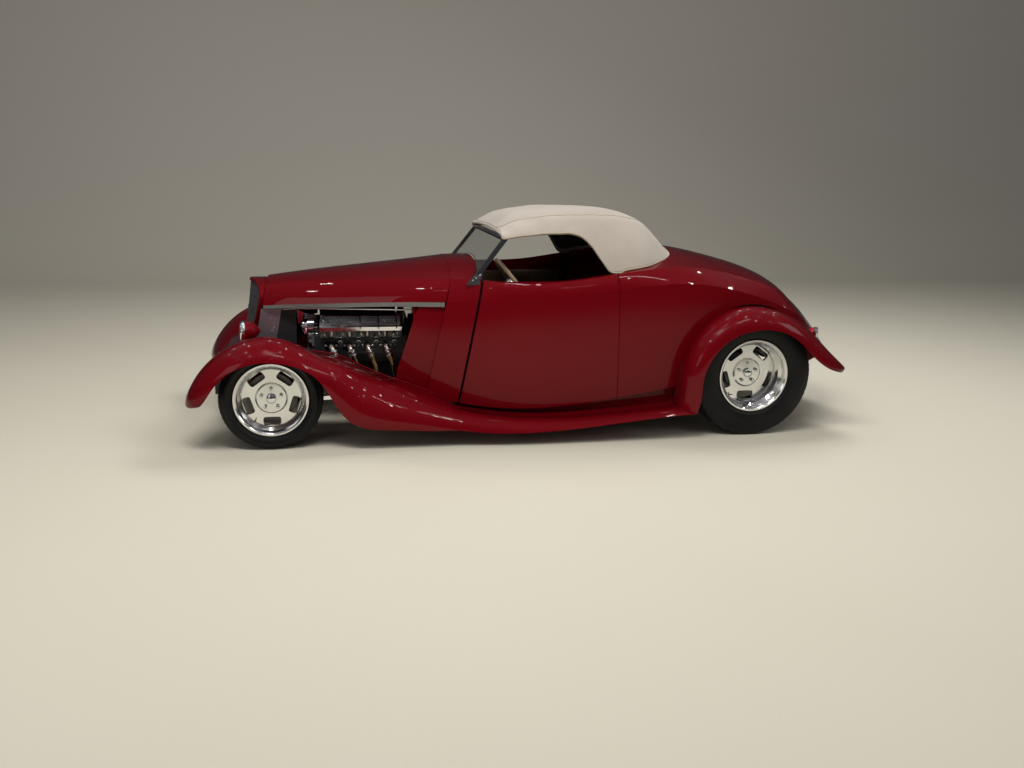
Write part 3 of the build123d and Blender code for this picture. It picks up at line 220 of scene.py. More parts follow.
# canvas: two crossed thread waves in the bump and colour, soft soiling, sheen
def canvasFinish(name="tanCanvas", light=canvasLook["light"], dark=canvasLook["dark"],
                 threads=canvasLook["threads"]):
    mat, tree, vector = freshTree(name)
    warp, weft = (bandsOf(tree, vector, threads, axis, 0.6) for axis in "XY")
    weave = mathOf(tree, "MAXIMUM", warp, weft)
    fleck = noiseOf(tree, vector, 330.0, 2.0)
    colour = mixColours(tree, ramp(tree, noiseOf(tree, vector, 2.4, 5.0, 0.6), 0, 1, 0.35, 0.7), light, dark)
    colour = mixColours(tree, ramp(tree, fleck, 0.0, 0.30), colour, canvasLook["fleck"])
    colour = mixColours(tree, ramp(tree, weave, 0.14, 0.0, 0, 1), colour, canvasLook["weave"])
    return surfaced(mat, colour, ramp(tree, fleck, 0.82, 0.96), (weave, 0.35, 0.0005), Sheen_Weight=0.25,
                    Sheen_Roughness=0.5, Specular_IOR_Level=0.25)


# hide: pebbled cells and soft creases
def hideFinish(name, tone, rough=0.48):
    mat, tree, vector = freshTree(name)
    pebble = cellsOf(tree, vector, 420.0, feature="SMOOTH_F1")
    crease = noiseOf(tree, vector, 36.0, 6.0, 0.65, 0.6)
    return surfaced(mat, mixColours(tree, ramp(tree, crease, 0, 1), shaded(tone, 0.82), tone),
                    ramp(tree, crease, rough - 0.06, rough + 0.12),
                    (mathOf(tree, "ADD", pebble, crease), 0.28, 0.0007), Specular_IOR_Level=0.4, Sheen_Weight=0.06)


# clear pane with a faint film, fluted across where a scale is given
def paneFinish(name, tone=(0.93, 0.96, 0.95), flutes=0.0):
    mat, tree, vector = freshTree(name)
    film = noiseOf(tree, vector, 5.0, 4.0)
    return surfaced(mat, mixColours(tree, ramp(tree, film, 0, 1), tone, shaded(tone, 0.97)),
                    ramp(tree, film, 0.0, 0.02), flutes and (bandsOf(tree, vector, flutes, "Y"), 0.5, 0.002),
                    Transmission_Weight=1.0, IOR=1.45)


# coated exhaust tube: straw and bronze where it runs hot, steel grey further down, flanges blackened
def heatFinish():
    mat, tree, vector = freshTree("heatTube")
    aside = mathOf(tree, "ABSOLUTE", partOf(tree, vector, "Y"))
    cloud = noiseOf(tree, vector, 18.0, 4.0, 0.6)
    height = mathOf(tree, "ADD", ramp(tree, cloud, -0.03, 0.03), partOf(tree, vector, "Z"))
    colour = mixColours(tree, ramp(tree, height, 0, 1, 0.20, 0.40), (0.30, 0.25, 0.20), (0.42, 0.27, 0.12))
    colour = mixColours(tree, ramp(tree, height, 0, 1, 0.465, 0.50), colour, (0.80, 0.76, 0.68))
    colour = mixColours(tree, ramp(tree, aside, 0, 1, 0.266, 0.270), (0.030, 0.029, 0.030), colour)
    return surfaced(mat, colour, ramp(tree, cloud, 0.14, 0.30), (noiseOf(tree, vector, 500.0), 0.05, 0.0003),
                    Metallic=1.0)


# radiator core: fine flat tubes with fins between, faintly violet
def coreFinish():
    mat, tree, vector = freshTree("radiatorCore")
    fins, tubes = bandsOf(tree, vector, 160.0, "Z"), bandsOf(tree, vector, 34.0, "Y")
    cloud = noiseOf(tree, vector, 12.0, 4.0)
    colour = mixColours(tree, ramp(tree, tubes, 0, 1, 0.35, 0.65), (0.16, 0.14, 0.17), (0.52, 0.48, 0.54))
    colour = mixColours(tree, ramp(tree, fins, 0.35, 0.0, 0, 1), colour, (0.05, 0.045, 0.055))
    colour = mixColours(tree, ramp(tree, cloud, 0.0, 0.35), colour, (0.30, 0.27, 0.31))
    return surfaced(mat, colour, ramp(tree, cloud, 0.26, 0.42), (tubes, 0.6, 0.002), Metallic=0.85)


# floor pan: dark looped carpet above its plate, sprayed black below
def floorFinish():
    mat, tree, vector = freshTree("cabinFloor")
    above = ramp(tree, partOf(tree, vector, "Z"), 0.0, 1.0, 0.2355, 0.2375)
    loops = cellsOf(tree, vector, 330.0)
    grit = noiseOf(tree, vector, 60.0, 5.0, 0.6)
    pile = mixColours(tree, ramp(tree, loops, 0, 1, 0.1, 0.6), (0.050, 0.038, 0.030), (0.020, 0.015, 0.012))
    plate = mixColours(tree, ramp(tree, grit, 0, 1), (0.016, 0.016, 0.017), (0.026, 0.025, 0.024))
    return surfaced(mat, mixColours(tree, above, plate, pile), ramp(tree, above, 0.48, 0.93, 0, 1),
                    (loops, 0.35, 0.001), Specular_IOR_Level=0.3)


finishes = {
    "paint": paintFinish(),
    "canvasTrim": canvasFinish("tanBinding", (0.46, 0.375, 0.28), (0.37, 0.30, 0.22), 900.0),
    "hideTrim": hideFinish("tanWelt", (0.060, 0.037, 0.021), 0.42),
    "rubberHose": rubberFinish("hoseRubber"),
    "ceramic": rigidFinish("ceramic", (0.72, 0.68, 0.60), 0.0, 0.22, 0.06, 0.05, 300.0, 0.05),
    "mirror": platedFinish("lampMirror", (0.93, 0.93, 0.93), 0.03, 0.01, 0.0),
    "ivory": rigidFinish("dialIvory", (0.72, 0.69, 0.60), 0.0, 0.5, 0.05, 0.05, 900.0, 0.05),
    "ember": rigidFinish("needleRed", (0.60, 0.06, 0.02), 0.0, 0.35, 0.05, 0.05, 900.0, 0.03),
    "core": coreFinish(),
    "cabinFloor": floorFinish(),
    "chrome": platedFinish("brightPlate", (0.86, 0.86, 0.87), 0.05),
    "polished": platedFinish("polishedAlloy", (0.78, 0.78, 0.79), 0.14, 0.05, 0.05),
    "cast": rigidFinish("castDark", (0.045, 0.045, 0.048), 0.55, 0.46, 0.15, 0.1, 260.0, 0.3, 0.4),
    "satinBlack": rigidFinish("satinBlack", (0.018, 0.018, 0.019), 0.0, 0.38, 0.15, 0.08, 500.0, 0.12, 0.4),
    "gloss": rigidFinish("glossBlack", (0.012, 0.012, 0.013), 0.0, 0.16, 0.1, 0.05, 700.0, 0.03, 0.0, 0.6),
    "grille": rigidFinish("grilleGrey", (0.105, 0.112, 0.120), 0.7, 0.30, 0.12, 0.06, 800.0, 0.05),
    "steel": rigidFinish("steelTube", (0.50, 0.49, 0.47), 1.0, 0.28, 0.12, 0.09, 600.0, 0.10, 0.2),
    "darkSteel": rigidFinish("darkSteel", (0.085, 0.082, 0.078), 0.9, 0.38, 0.12, 0.09, 600.0, 0.10, 0.3),
    "trim": rigidFinish("satinTrim", (0.40, 0.40, 0.41), 1.0, 0.34, 0.08, 0.05, 900.0, 0.08, 0, 0, 0.03,
                        (0.05, 1, 1)),
    "tubes": heatFinish(),
    "rubber": rubberFinish(),
    "canvas": canvasFinish(),
    "hide": hideFinish("tanHide", (0.088, 0.053, 0.030)),
    "gripHide": hideFinish("gripHide", (0.300, 0.205, 0.120), 0.40),
    # lining: a real lining under the top, but its near-black tone is painted shade for the dark inside of the top
    "lining": canvasFinish("liningPaintedShade", (0.030, 0.028, 0.027), (0.017, 0.016, 0.016), 500.0),
    "darkHide": hideFinish("darkHide", (0.030, 0.026, 0.024)),
    "pane": paneFinish("clearPane"),
    "lens": paneFinish("flutedLens", (0.96, 0.97, 0.97), 60.0),
    "redLens": rigidFinish("redLens", (0.42, 0.006, 0.008), 0.0, 0.12, 0.1, 0.04, 120.0, 0.2, 0, 1.0, 0.02),
    "tank": rigidFinish("tankBlack", (0.030, 0.030, 0.032), 0.3, 0.35, 0.1, 0.08, 300.0, 0.15, 0.3),
}
nodeFinish = {
    "paint": "cowl rear_body deck_lid door_left door_right fender_front_left fender_front_right fender_rear_left "
             "fender_rear_right running_board_left running_board_right hood_top grille_shell headlight_buckets "
             "front_apron dashboard",
    "satinBlack": "frame fan",
    "gloss": "rear_axle",
    "cabinFloor": "floor_pan",
    "cast": "engine_block",
    "core": "radiator",
    "polished": "valve_covers",
    "darkSteel": "knuckle_left knuckle_right",
    "chrome": "front_axle windshield_frame accessory_drive steering_column",
    "tubes": "exhaust_headers",
    "steel": "exhaust_pipes",
    "grille": "grille_bars",
    "rubber": "tyre_front_left tyre_front_right tyre_rear_left tyre_rear_right",
    "canvas": "soft_top",
    "hide": "seat",
    "darkHide": "steering_wheel",
    "pane": "glazing",
    "lens": "headlight_lenses",
    "redLens": "tail_lamps",
    "tank": "fuel_tank",
}


def setFinish(node, finish):
    slots = nodes[node].data.materials
    slots.clear()
    slots.append(finish)


for finishName, members in nodeFinish.items():
    for member in members.split():
        setFinish(member, finishes[finishName])
for place, radius, x in (("front", 0.288, axleX), ("rear", 0.371, axleX + 2.845)):
    turned = turnedFinish("turnedAlloy" + place.capitalize(), (0.80, 0.80, 0.79), (x, 0, radius))
    for hand in ("left", "right"):
        setFinish("rim_" + place + "_" + hand, turned)
print("materials done")


# mesh helpers: surfaces come in as arrays of points
def gridFaces(rows, cols, closeRows=False, closeCols=False):
    index = np.arange(rows * cols).reshape(rows, cols)
    below, right = np.roll(index, -1, 0), np.roll(index, -1, 1)
    quads = np.stack([index, right, np.roll(below, -1, 1), below], -1)
    quads = quads if closeRows else quads[:-1]
    quads = quads if closeCols else quads[:, :-1]
    return quads.reshape(-1, 4)


# faces of a run of closed rings with a cap on each end
def cappedFaces(rows, cols):
    caps = [list(range(cols))[::-1], list(range((rows - 1) * cols, rows * cols))]
    return gridFaces(rows, cols, False, True).tolist() + caps


# six times the volume inside a closed mesh, negative where its faces point inward
def signedVolume(mesh):
    mesh.calc_loop_triangles()
    corners = np.empty(len(mesh.loop_triangles) * 3, np.int32)
    mesh.loop_triangles.foreach_get("vertices", corners)
    a, b, c = readVectors(mesh, "co")[corners.reshape(-1, 3)].transpose(1, 0, 2)
    return np.einsum("ij,ij->", a, np.cross(b, c))


def readVectors(mesh, key):
    values = np.empty(len(mesh.vertices) * 3)
    mesh.vertices.foreach_get(key, values)
    return values.reshape(-1, 3)


# closed meshes are turned with their faces outward, open ones are flipped on request
def addPiece(name, points, faces, finish, body="chassis", smooth=True, flip=False):
    mesh = bpy.data.meshes.new(name)
    mesh.from_pydata(np.asarray(points, float).reshape(-1, 3).tolist(), [], [list(f) for f in faces])
    mesh.validate()
    closed = len(mesh.loops) == 2 * len(mesh.edges)
    if signedVolume(mesh) < 0 if closed else flip:
        mesh.flip_normals()
    mesh.polygons.foreach_set("use_smooth", np.full(len(mesh.polygons), smooth))
    mesh.update()
    piece = bpy.data.objects.new(name, mesh)
    bpy.context.scene.collection.objects.link(piece)
    piece.data.materials.append(finishes[finish] if isinstance(finish, str) else finish)
    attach(piece, body)
    return piece


def at(station, y, z):
    return np.array([axleX + station, y, z], float)


# rows of (station, y, z) as points, on the right side as given or mirrored by side = -1
def placed(rows, side=1):
    return np.asarray(rows, float) * (1, side, 1) + (axleX, 0, 0)


# unit vector in a wheel's plane
def spokeAt(degrees):
    return np.array([math.cos(math.radians(degrees)), 0, math.sin(math.radians(degrees))])


# rings of points about an axis: profile is (radius, along), one ring for each row
def revolved(profile, centre, axis, steps):
    profile = np.asarray(profile, float)
    axis = np.asarray(axis, float) / np.linalg.norm(axis)
    first = np.array([0, 0, 1.0]) - axis * axis[2]
    first /= np.linalg.norm(first)
    second = np.cross(axis, first)
    angle = np.linspace(0, 2 * np.pi, steps, endpoint=False)
    spoke = np.cos(angle)[:, None] * first + np.sin(angle)[:, None] * second
    return np.asarray(centre, float) + profile[:, None, 1:2] * axis + profile[:, None, 0:1] * spoke[None]


# a ring with a closed profile
def addRing(name, profile, centre, axis, finish="chrome", body="chassis", steps=48):
    points = revolved(profile, centre, axis, steps)
    return addPiece(name, points, gridFaces(len(profile), steps, True, True), finish, body)


# a turned form whose profile starts and ends on the axis, closed by fans at its poles
def addTurned(name, profile, centre, axis, finish="chrome", body="chassis", steps=48):
    points = revolved(profile, centre, axis, steps)
    pole, ring = (len(profile) - 2) * steps, np.arange(steps)
    after, last = np.roll(ring, -1), pole - steps
    fans = [np.stack([np.full(steps, pole), after, ring], 1),
            np.stack([last + ring, last + after, np.full(steps, pole + 1)], 1)]
    faces = gridFaces(len(profile) - 2, steps, False, True).tolist() + np.concatenate(fans).tolist()
    points = np.concatenate([points[1:-1].reshape(-1, 3), points[0, :1], points[-1, :1]])
    return addPiece(name, points, faces, finish, body)


# a tube along a smooth path: each ring stands square to the path, turned as little as possible
def tubePoints(path, radius, sides=16):
    path = np.asarray(path, float)
    way = np.gradient(path, axis=0)
    way /= np.linalg.norm(way, axis=1)[:, None]
    helper = np.array([0, 0, 1.0]) if abs(way[0, 2]) < 0.9 else np.array([0, 1.0, 0])
    normals = np.zeros_like(path)
    for i, t in enumerate(way):  # carried from ring to ring
        helper = helper - t * np.dot(helper, t)
        helper = helper / np.linalg.norm(helper)
        normals[i] = helper
    side = np.cross(way, normals)
    angle = np.linspace(0, 2 * np.pi, sides, endpoint=False)
    radius = np.broadcast_to(np.asarray(radius, float), (len(path),))[:, None, None]
    return path[:, None] + radius * (np.cos(angle)[None, :, None] * normals[:, None]
                                     + np.sin(angle)[None, :, None] * side[:, None])


def addTube(name, path, radius, finish="chrome", body="chassis", sides=16, closed=False):
    points = tubePoints(path, radius, sides)
    faces = gridFaces(len(points), sides, True, True) if closed else cappedFaces(len(points), sides)
    return addPiece(name, points, faces, finish, body)


# value and slope of cubic pieces between rows of values at the given knots
def cubicRows(knots, rows, spots):
    slope = np.gradient(rows, knots, axis=0)
    k = np.clip(np.searchsorted(knots, spots, "right") - 1, 0, len(knots) - 2)
    shape = (-1,) + (1,) * (rows.ndim - 1)
    h = (knots[k + 1] - knots[k]).reshape(shape)
    u = ((spots - knots[k]) / (knots[k + 1] - knots[k])).reshape(shape)
    return ((2 * u**3 - 3 * u**2 + 1) * rows[k] + (u**3 - 2 * u**2 + u) * h * slope[k]
            + (3 * u**2 - 2 * u**3) * rows[k + 1] + (u**3 - u**2) * h * slope[k + 1])


# smooth curve through control points
def smoothPath(points, count=60):
    points = np.asarray(points, float)
    run = np.concatenate([[0], np.cumsum(np.linalg.norm(np.diff(points, axis=0), axis=1))])
    return cubicRows(run, points, np.linspace(0, run[-1], count))


# arc through three points of a plane: centre from the bisectors, angles the short way round
def arcThrough(a, m, b, count):
    a, m, b = (np.asarray(p, float) for p in (a, m, b))
    across = 2 * (a[0] * (m[1] - b[1]) + m[0] * (b[1] - a[1]) + b[0] * (a[1] - m[1]))
    aa, mm, bb = a @ a, m @ m, b @ b
    centre = np.array([aa * (m[1] - b[1]) + mm * (b[1] - a[1]) + bb * (a[1] - m[1]),
                       aa * (b[0] - m[0]) + mm * (a[0] - b[0]) + bb * (m[0] - a[0])]) / across
    first, last = (math.atan2(*(p - centre)[::-1]) for p in (a, b))
    angle = first + ((last - first + np.pi) % (2 * np.pi) - np.pi) * np.linspace(0, 1, count)
    return centre + np.linalg.norm(a - centre) * np.stack([np.cos(angle), np.sin(angle)], 1)


# even steps along a polyline
def evenly(line, count, ends=(0.0, 1.0)):
    run = np.concatenate([[0], np.cumsum(np.linalg.norm(np.diff(line, axis=0), axis=1))])
    steps = np.linspace(*ends, count) * run[-1]
    return np.stack([np.interp(steps, run, line[:, k]) for k in range(line.shape[1])], 1)


# keeps a modifier's result as the piece's own mesh
def bake(piece):
    shown = piece.evaluated_get(bpy.context.evaluated_depsgraph_get())
    mesh = bpy.data.meshes.new_from_object(shown)
    piece.modifiers.clear()
    piece.data = mesh
    return piece


def withThickness(piece, thick, offset=-1.0):
    shell = piece.modifiers.new("thickness", "SOLIDIFY")
    shell.thickness, shell.offset, shell.use_even_offset = thick, offset, True
    return bake(piece)


def treeOf(node):
    return BVHTree.FromObject(nodes[node], bpy.context.evaluated_depsgraph_get())


# a box with softened edges, given by its middle, its size and the way its length points
def addBlock(name, centre, size, finish, body="chassis", turn=None, edge=0.002):
    signs = np.array([[x, y, z] for x in (-1, 1) for y in (-1, 1) for z in (-1, 1)], float)
    grid = signs * np.asarray(size) / 2
    if turn is not None:
        grid = grid @ np.asarray(turn, float)
    faces = [(0, 1, 3, 2), (4, 6, 7, 5), (0, 4, 5, 1), (2, 3, 7, 6), (0, 2, 6, 4), (1, 5, 7, 3)]
    piece = addPiece(name, grid + centre, faces, finish, body, smooth=False)
    soft = piece.modifiers.new("edge", "BEVEL")
    soft.width, soft.segments = edge, 2
    return bake(piece)


# several pieces that share a finish and a body become one
def joined(name, parts):
    points, faces, start = [], [], 0
    for part in parts:
        points.append(readVectors(part.data, "co"))
        faces += [tuple(start + v for v in poly.vertices) for poly in part.data.polygons]
        start += len(part.data.vertices)
    finish, body = parts[0].data.materials[0], body_of(parts[0])[0]
    smooth = parts[0].data.polygons[0].use_smooth
    for part in parts:
        bpy.data.objects.remove(part)
    return addPiece(name, np.concatenate(points), faces, finish, body, smooth)


sides = {"left": -1, "right": 1}

# soft top: a taut padded skin over bows, with piping, hems and a rounded nose over the windshield rail
# section columns: station, foot z, shoulder z, crown z, foot half width, shoulder half width
topLook = {
    "thick": 0.014, "lining": 0.0014, "liningGap": 0.0012, "nose": 0.0095, "noseShift": (0.0035, 0, -0.0088),
    "piping": 0.0036, "hem": 0.0052, "footHem": 0.0048, "binding": 0.0062, "bulge": 0.026, "clear": 0.0015,
    "sag": 0.0035, "ripple": 0.0011, "seamDip": 0.0018, "seamWidth": 0.006, "columns": 52,
    "openEnd": 2.012, "hemEnd": 2.020, "bows": (1.35, 1.66, 1.98, 2.22),
    "window": {"half": 0.212, "taper": 0.010, "low": 1.112, "high": 1.208, "corner": 0.04, "behind": 2.9},
    "sections": (
        (1.322, 1.150, 1.204, 1.222, 0.562, 0.500), (1.400, 1.120, 1.250, 1.286, 0.582, 0.472),
        (1.560, 1.060, 1.286, 1.326, 0.612, 0.456), (1.750, 1.000, 1.300, 1.340, 0.640, 0.452),
        (1.960, 0.940, 1.302, 1.334, 0.655, 0.450), (2.110, 0.900, 1.290, 1.322, 0.660, 0.444),
        (2.200, 0.890, 1.260, 1.292, 0.650, 0.438), (2.300, 0.880, 1.172, 1.214, 0.588, 0.416),
        (2.400, 0.880, 1.074, 1.130, 0.505, 0.374), (2.490, 0.880, 1.010, 1.072, 0.420, 0.330)),
    "opening": (
        (1.322, 1.170), (1.345, 1.172), (1.44, 1.188), (1.56, 1.200), (1.725, 1.205), (1.785, 1.190),
        (1.820, 1.169), (1.858, 1.126), (1.910, 1.048), (1.948, 0.992), (1.968, 0.982), (2.012, 0.980)),
    "seam": ((1.322, 0.30), (1.365, 0.40), (1.45, 0.430), (2.10, 0.426), (2.30, 0.395), (2.42, 0.335)),
}


# half sections in (y, z): side arc, then top arc to the middle, run through the stations as cubics
def topHalves(stations, count=90):
    rows = []
    for s, foot, shoulder, crown, wFoot, wShoulder in topLook["sections"]:
        a, b = np.array([wFoot, foot]), np.array([wShoulder, shoulder])
        way = (b - a) / np.linalg.norm(b - a)
        middle = (a + b) / 2 + topLook["bulge"] * np.array([way[1], -way[0]])
        roof = arcThrough(b, (0, crown), (-b[0], b[1]), 81)[1:41]
        rows.append(evenly(np.concatenate([arcThrough(a, middle, b, 40), roof]), count))
    knots = np.array([row[0] for row in topLook["sections"]])
    halves = cubicRows(knots, np.array(rows), stations)
    for _ in range(10):  # the shoulder is rounded off
        halves[:, 1:-1] = (halves[:, :-2] + 2 * halves[:, 1:-1] + halves[:, 2:]) / 4
    return halves


# where each half section starts: at the side opening, or where it comes out of the body
def topStarts(stations, halves):
    body, starts = treeOf("rear_body"), []
    for s, half in zip(stations, halves):
        if s <= topLook["openEnd"]:
            low = np.interp(s, *np.array(topLook["opening"]).T)
            starts.append(np.interp(low, half[:, 1], np.linspace(0, 1, len(half))))
            continue
        hits = [body.ray_cast((axleX + s, -y, 1.6), (0, 0, -1))[0] for y, z in half]
        clear = [hit is None or z > hit[2] + topLook["clear"] for hit, (y, z) in zip(hits, half)]
        buried = np.flatnonzero(~np.array(clear)[:-1])
        starts.append((buried[-1] + 1) / (len(half) - 1) if len(buried) else 0.0)
    starts, rear = np.array(starts), stations > topLook["hemEnd"]
    for _ in range(3):
        inner = starts.copy()
        inner[1:-1] = (starts[:-2] + 2 * starts[1:-1] + starts[2:]) / 4
        starts[rear] = inner[rear]
    return starts


# grid of the skin: cloth falls a little between the bows, ripples faintly and dips along its seams
def topSurface():
    stations = np.concatenate([np.linspace(1.322, 2.40, 100), np.linspace(2.408, 2.475, 14)])
    halves = topHalves(stations)
    starts = topStarts(stations, halves)
    keep = starts < 0.97
    stations, halves, starts = stations[keep], halves[keep], starts[keep]
    half = np.array([evenly(line, topLook["columns"], (low, 1.0)) for line, low in zip(halves, starts)])
    whole = np.concatenate([half * (-1, 1), half[:, -2::-1]], 1)
    along = np.broadcast_to((axleX + stations)[:, None, None], (*whole.shape[:2], 1))
    points = np.concatenate([along, whole], 2)
    gap = np.interp(stations, topLook["bows"], np.arange(len(topLook["bows"]))) % 1.0
    inward = 1 - np.abs(np.linspace(-1, 1, points.shape[1]))
    x, y = points[..., 0], points[..., 1]
    wave = topLook["ripple"] * np.sin(x * 31 + 2.2 * np.sin(y * 17)) * np.sin(y * 23 + 1.3 * np.sin(x * 13))
    points[..., 2] -= topLook["sag"] * np.sin(np.pi * gap)[:, None] ** 2 * inward[None] ** 0.6 + wave
    seamY = np.interp(stations, *np.array(topLook["seam"]).T)
    points[..., 2] -= topLook["seamDip"] * np.exp(-((np.abs(y) - seamY[:, None]) / topLook["seamWidth"]) ** 2)
    return stations, points, seamY


# rear window: rounded outline in (y, z), wider at its foot
def windowOutline():
    look, outline = topLook["window"], []
    r, foot = look["corner"], look["half"] - look["corner"]
    head = foot - look["taper"]
    for y, z, start in ((-foot, look["low"] + r, 180), (foot, look["low"] + r, 270),
                        (head, look["high"] - r, 0), (-head, look["high"] - r, 90)):
        turn = np.radians(start + np.linspace(0, 90, 9))
        outline += [(y + r * math.cos(t), z + r * math.sin(t)) for t in turn]
    return np.array(outline)


def makeSoftTop():
    stations, points, seamY = topSurface()
    skinFaces = gridFaces(*points.shape[:2])
    skin = addPiece("softTop", points, skinFaces, "canvas", flip=True)
    withThickness(skin, topLook["thick"])
    normal = np.cross(np.gradient(points, axis=0), np.gradient(points, axis=1))
    normal /= np.linalg.norm(normal, axis=2, keepdims=True)
    normal *= np.sign(normal[len(points) // 2, topLook["columns"], 2])
    # lining under the skin: a real part, painted near black as shade inside the top
    inner = (points - normal * (topLook["thick"] + topLook["liningGap"]))[1:-1, 2:-2]
    lining = addPiece("topLiningPaintedShade", inner, gridFaces(*inner.shape[:2]), "lining", flip=True)
    withThickness(lining, topLook["lining"])
    outline = windowOutline()
    cutter = np.array([[(axleX + s, y, z) for y, z in outline] for s in (2.15, 2.60)])
    hole = addPiece("cutter", cutter, cappedFaces(2, len(outline)), "canvas", smooth=False)
    for piece in (skin, lining):
        cut = piece.modifiers.new("window", "BOOLEAN")
        cut.object, cut.operation, cut.solver = hole, "DIFFERENCE", "EXACT"
        bake(piece)
    bpy.data.objects.remove(hole)
    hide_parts("soft_top")
    # window binding: the outline laid on the skin from behind
    skinTree = BVHTree.FromPolygons([Vector(p) for p in points.reshape(-1, 3)], skinFaces.tolist())
    ring = evenly(np.concatenate([outline, outline[:1]]), 121)[:-1]
    behind = axleX + topLook["window"]["behind"]
    ring = np.array([skinTree.ray_cast((behind, y, z), (-1, 0, 0))[0] for y, z in ring])
    addTube("windowBinding", ring, topLook["binding"], "canvasTrim", sides=10, closed=True)
    addTube("topNose", (points[0] + topLook["noseShift"])[1:-1], topLook["nose"], "canvas", sides=18)
    seams, hems = [], []
    cols = topLook["columns"]
    for side, column in ((-1, 0), (1, -1)):
        halves = points[:, :cols] if side < 0 else points[:, cols - 1:][:, ::-1]
        height = [np.interp(-y, -np.abs(row[:, 1]), row[:, 2]) for row, y in zip(halves, seamY)]
        spots = np.stack([points[:, 0, 0], side * seamY, height], 1)[stations < 2.425]
        seams.append(addTube("piping", spots, topLook["piping"], "canvasTrim", sides=10))
        edge = points[stations <= topLook["hemEnd"], column] + (0, 0, 0.001)
        hems.append(addTube("hem", edge, topLook["hem"], "canvasTrim", sides=10))
    joined("topPiping", seams)
    joined("openingHems", hems)
    back = stations > 2.0
    foot = np.concatenate([points[back, 0], points[-1, ::6], points[back, -1][::-1]])
    addTube("footHem", evenly(foot, 150), topLook["footHem"], "canvasTrim", sides=10)


# seat: a cushion and a back, each a closed crowned form with sewn channels from front to back
seatLook = {
    "halfWidth": 0.532, "channel": 0.076, "depth": 0.0065, "plain": 0.47, "welt": 0.0032, "weltY": 0.474,
    "rows": 150, "cols": 84, "puff": {"cushion": 0.008, "back": 0.007},
    "welts": (("cushion", 4, 34, (0, 0, 0.004)), ("back", 2, 38, (-0.002, 0, 0.002))),
    "cushion": (
        (1.800, 0.300), (1.765, 0.345), (1.757, 0.410), (1.778, 0.446), (1.83, 0.461), (1.95, 0.466),
        (2.08, 0.461), (2.19, 0.452), (2.22, 0.42), (2.215, 0.33), (2.19, 0.292), (2.00, 0.288)),
    "back": (
        (2.196, 0.470), (2.212, 0.520), (2.240, 0.62), (2.268, 0.72), (2.290, 0.80), (2.310, 0.842),
        (2.336, 0.858), (2.366, 0.850), (2.383, 0.812), (2.372, 0.72), (2.345, 0.58), (2.318, 0.46),
        (2.270, 0.44), (2.215, 0.446)),
}


# closed cushion: a side profile swept across and drawn in at both ends, so that the corners round off
def cushionPoints(part):
    profile, rows, cols = seatLook[part], seatLook["rows"], seatLook["cols"]
    line = np.array(profile + profile[:1])
    spread = np.concatenate([line[-2:-1], line, line[1:2]])
    line = evenly(smoothPath(spread, 600)[20:-20], cols + 1)[:-1]
    middle = line.mean(0)
    u = np.sin(np.linspace(-np.pi / 2, np.pi / 2, rows))
    shrink = 0.84 + 0.16 * np.clip((1 - np.abs(u) ** 9) ** (1 / 4), 0, 1)
    ring = middle + (line - middle)[None] * shrink[:, None, None]
    y = np.broadcast_to((u * seatLook["halfWidth"])[:, None], ring.shape[:2])
    return np.stack([axleX + ring[..., 0], y, ring[..., 1]], -1)


# fills a closed form by a cloth simulation under pressure, no point moving further than cap
def puffed(piece, cap, frames=20):
    before = readVectors(piece.data, "co")
    cloth = piece.modifiers.new("cloth", "CLOTH")
    cloth.settings.use_pressure, cloth.settings.uniform_pressure_force = True, 4.0
    cloth.settings.effector_weights.gravity = 0.0
    cloth.settings.quality = 5
    cloth.point_cache.frame_start, cloth.point_cache.frame_end = 1, frames
    for i in range(1, frames + 1):
        bpy.context.scene.frame_set(i)
    bake(piece)
    bpy.context.scene.frame_set(1)
    move = readVectors(piece.data, "co") - before
    length = np.linalg.norm(move, axis=1, keepdims=True)
    move *= np.minimum(1, cap / np.maximum(length, 1e-9))
    piece.data.vertices.foreach_set("co", (before + move).ravel())
    piece.data.update()


def makeSeat():
    made, seams = [], []
    for part, cap in seatLook["puff"].items():
        piece = addPiece("seat" + part.capitalize(), cushionPoints(part),
                         cappedFaces(seatLook["rows"], seatLook["cols"]), "hide")
        puffed(piece, cap)
        mesh = piece.data
        spots, normal = readVectors(mesh, "co"), readVectors(mesh, "normal")
        # channels: rounded ribs that meet in a fine valley, only where the form faces the sitter
        rib = 1 - (np.abs((spots[:, 1] / seatLook["channel"] + 0.5) % 1.0 - 0.5) * 2) ** 4
        facing = np.clip((normal[:, 2] if part == "cushion" else -normal[:, 0]) * 2.2 - 0.6, 0, 1)
        inside = np.clip((seatLook["plain"] - np.abs(spots[:, 1])) / 0.012, 0, 1)
        move = (rib - 1) * seatLook["depth"] * facing * inside
        mesh.vertices.foreach_set("co", (spots + normal * move[:, None]).ravel())
        mesh.update()
        made.append(piece)
    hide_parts("seat")
    for y in (-seatLook["weltY"], seatLook["weltY"]):
        for part, first, last, lift in seatLook["welts"]:
            rows = cushionPoints(part)
            column = rows[np.argmin(np.abs(rows[:, 0, 1] - y))]
            seams.append(addTube("welt", column[first:last] + lift, seatLook["welt"], "hideTrim", sides=8))
    joined("seatWelts", seams)


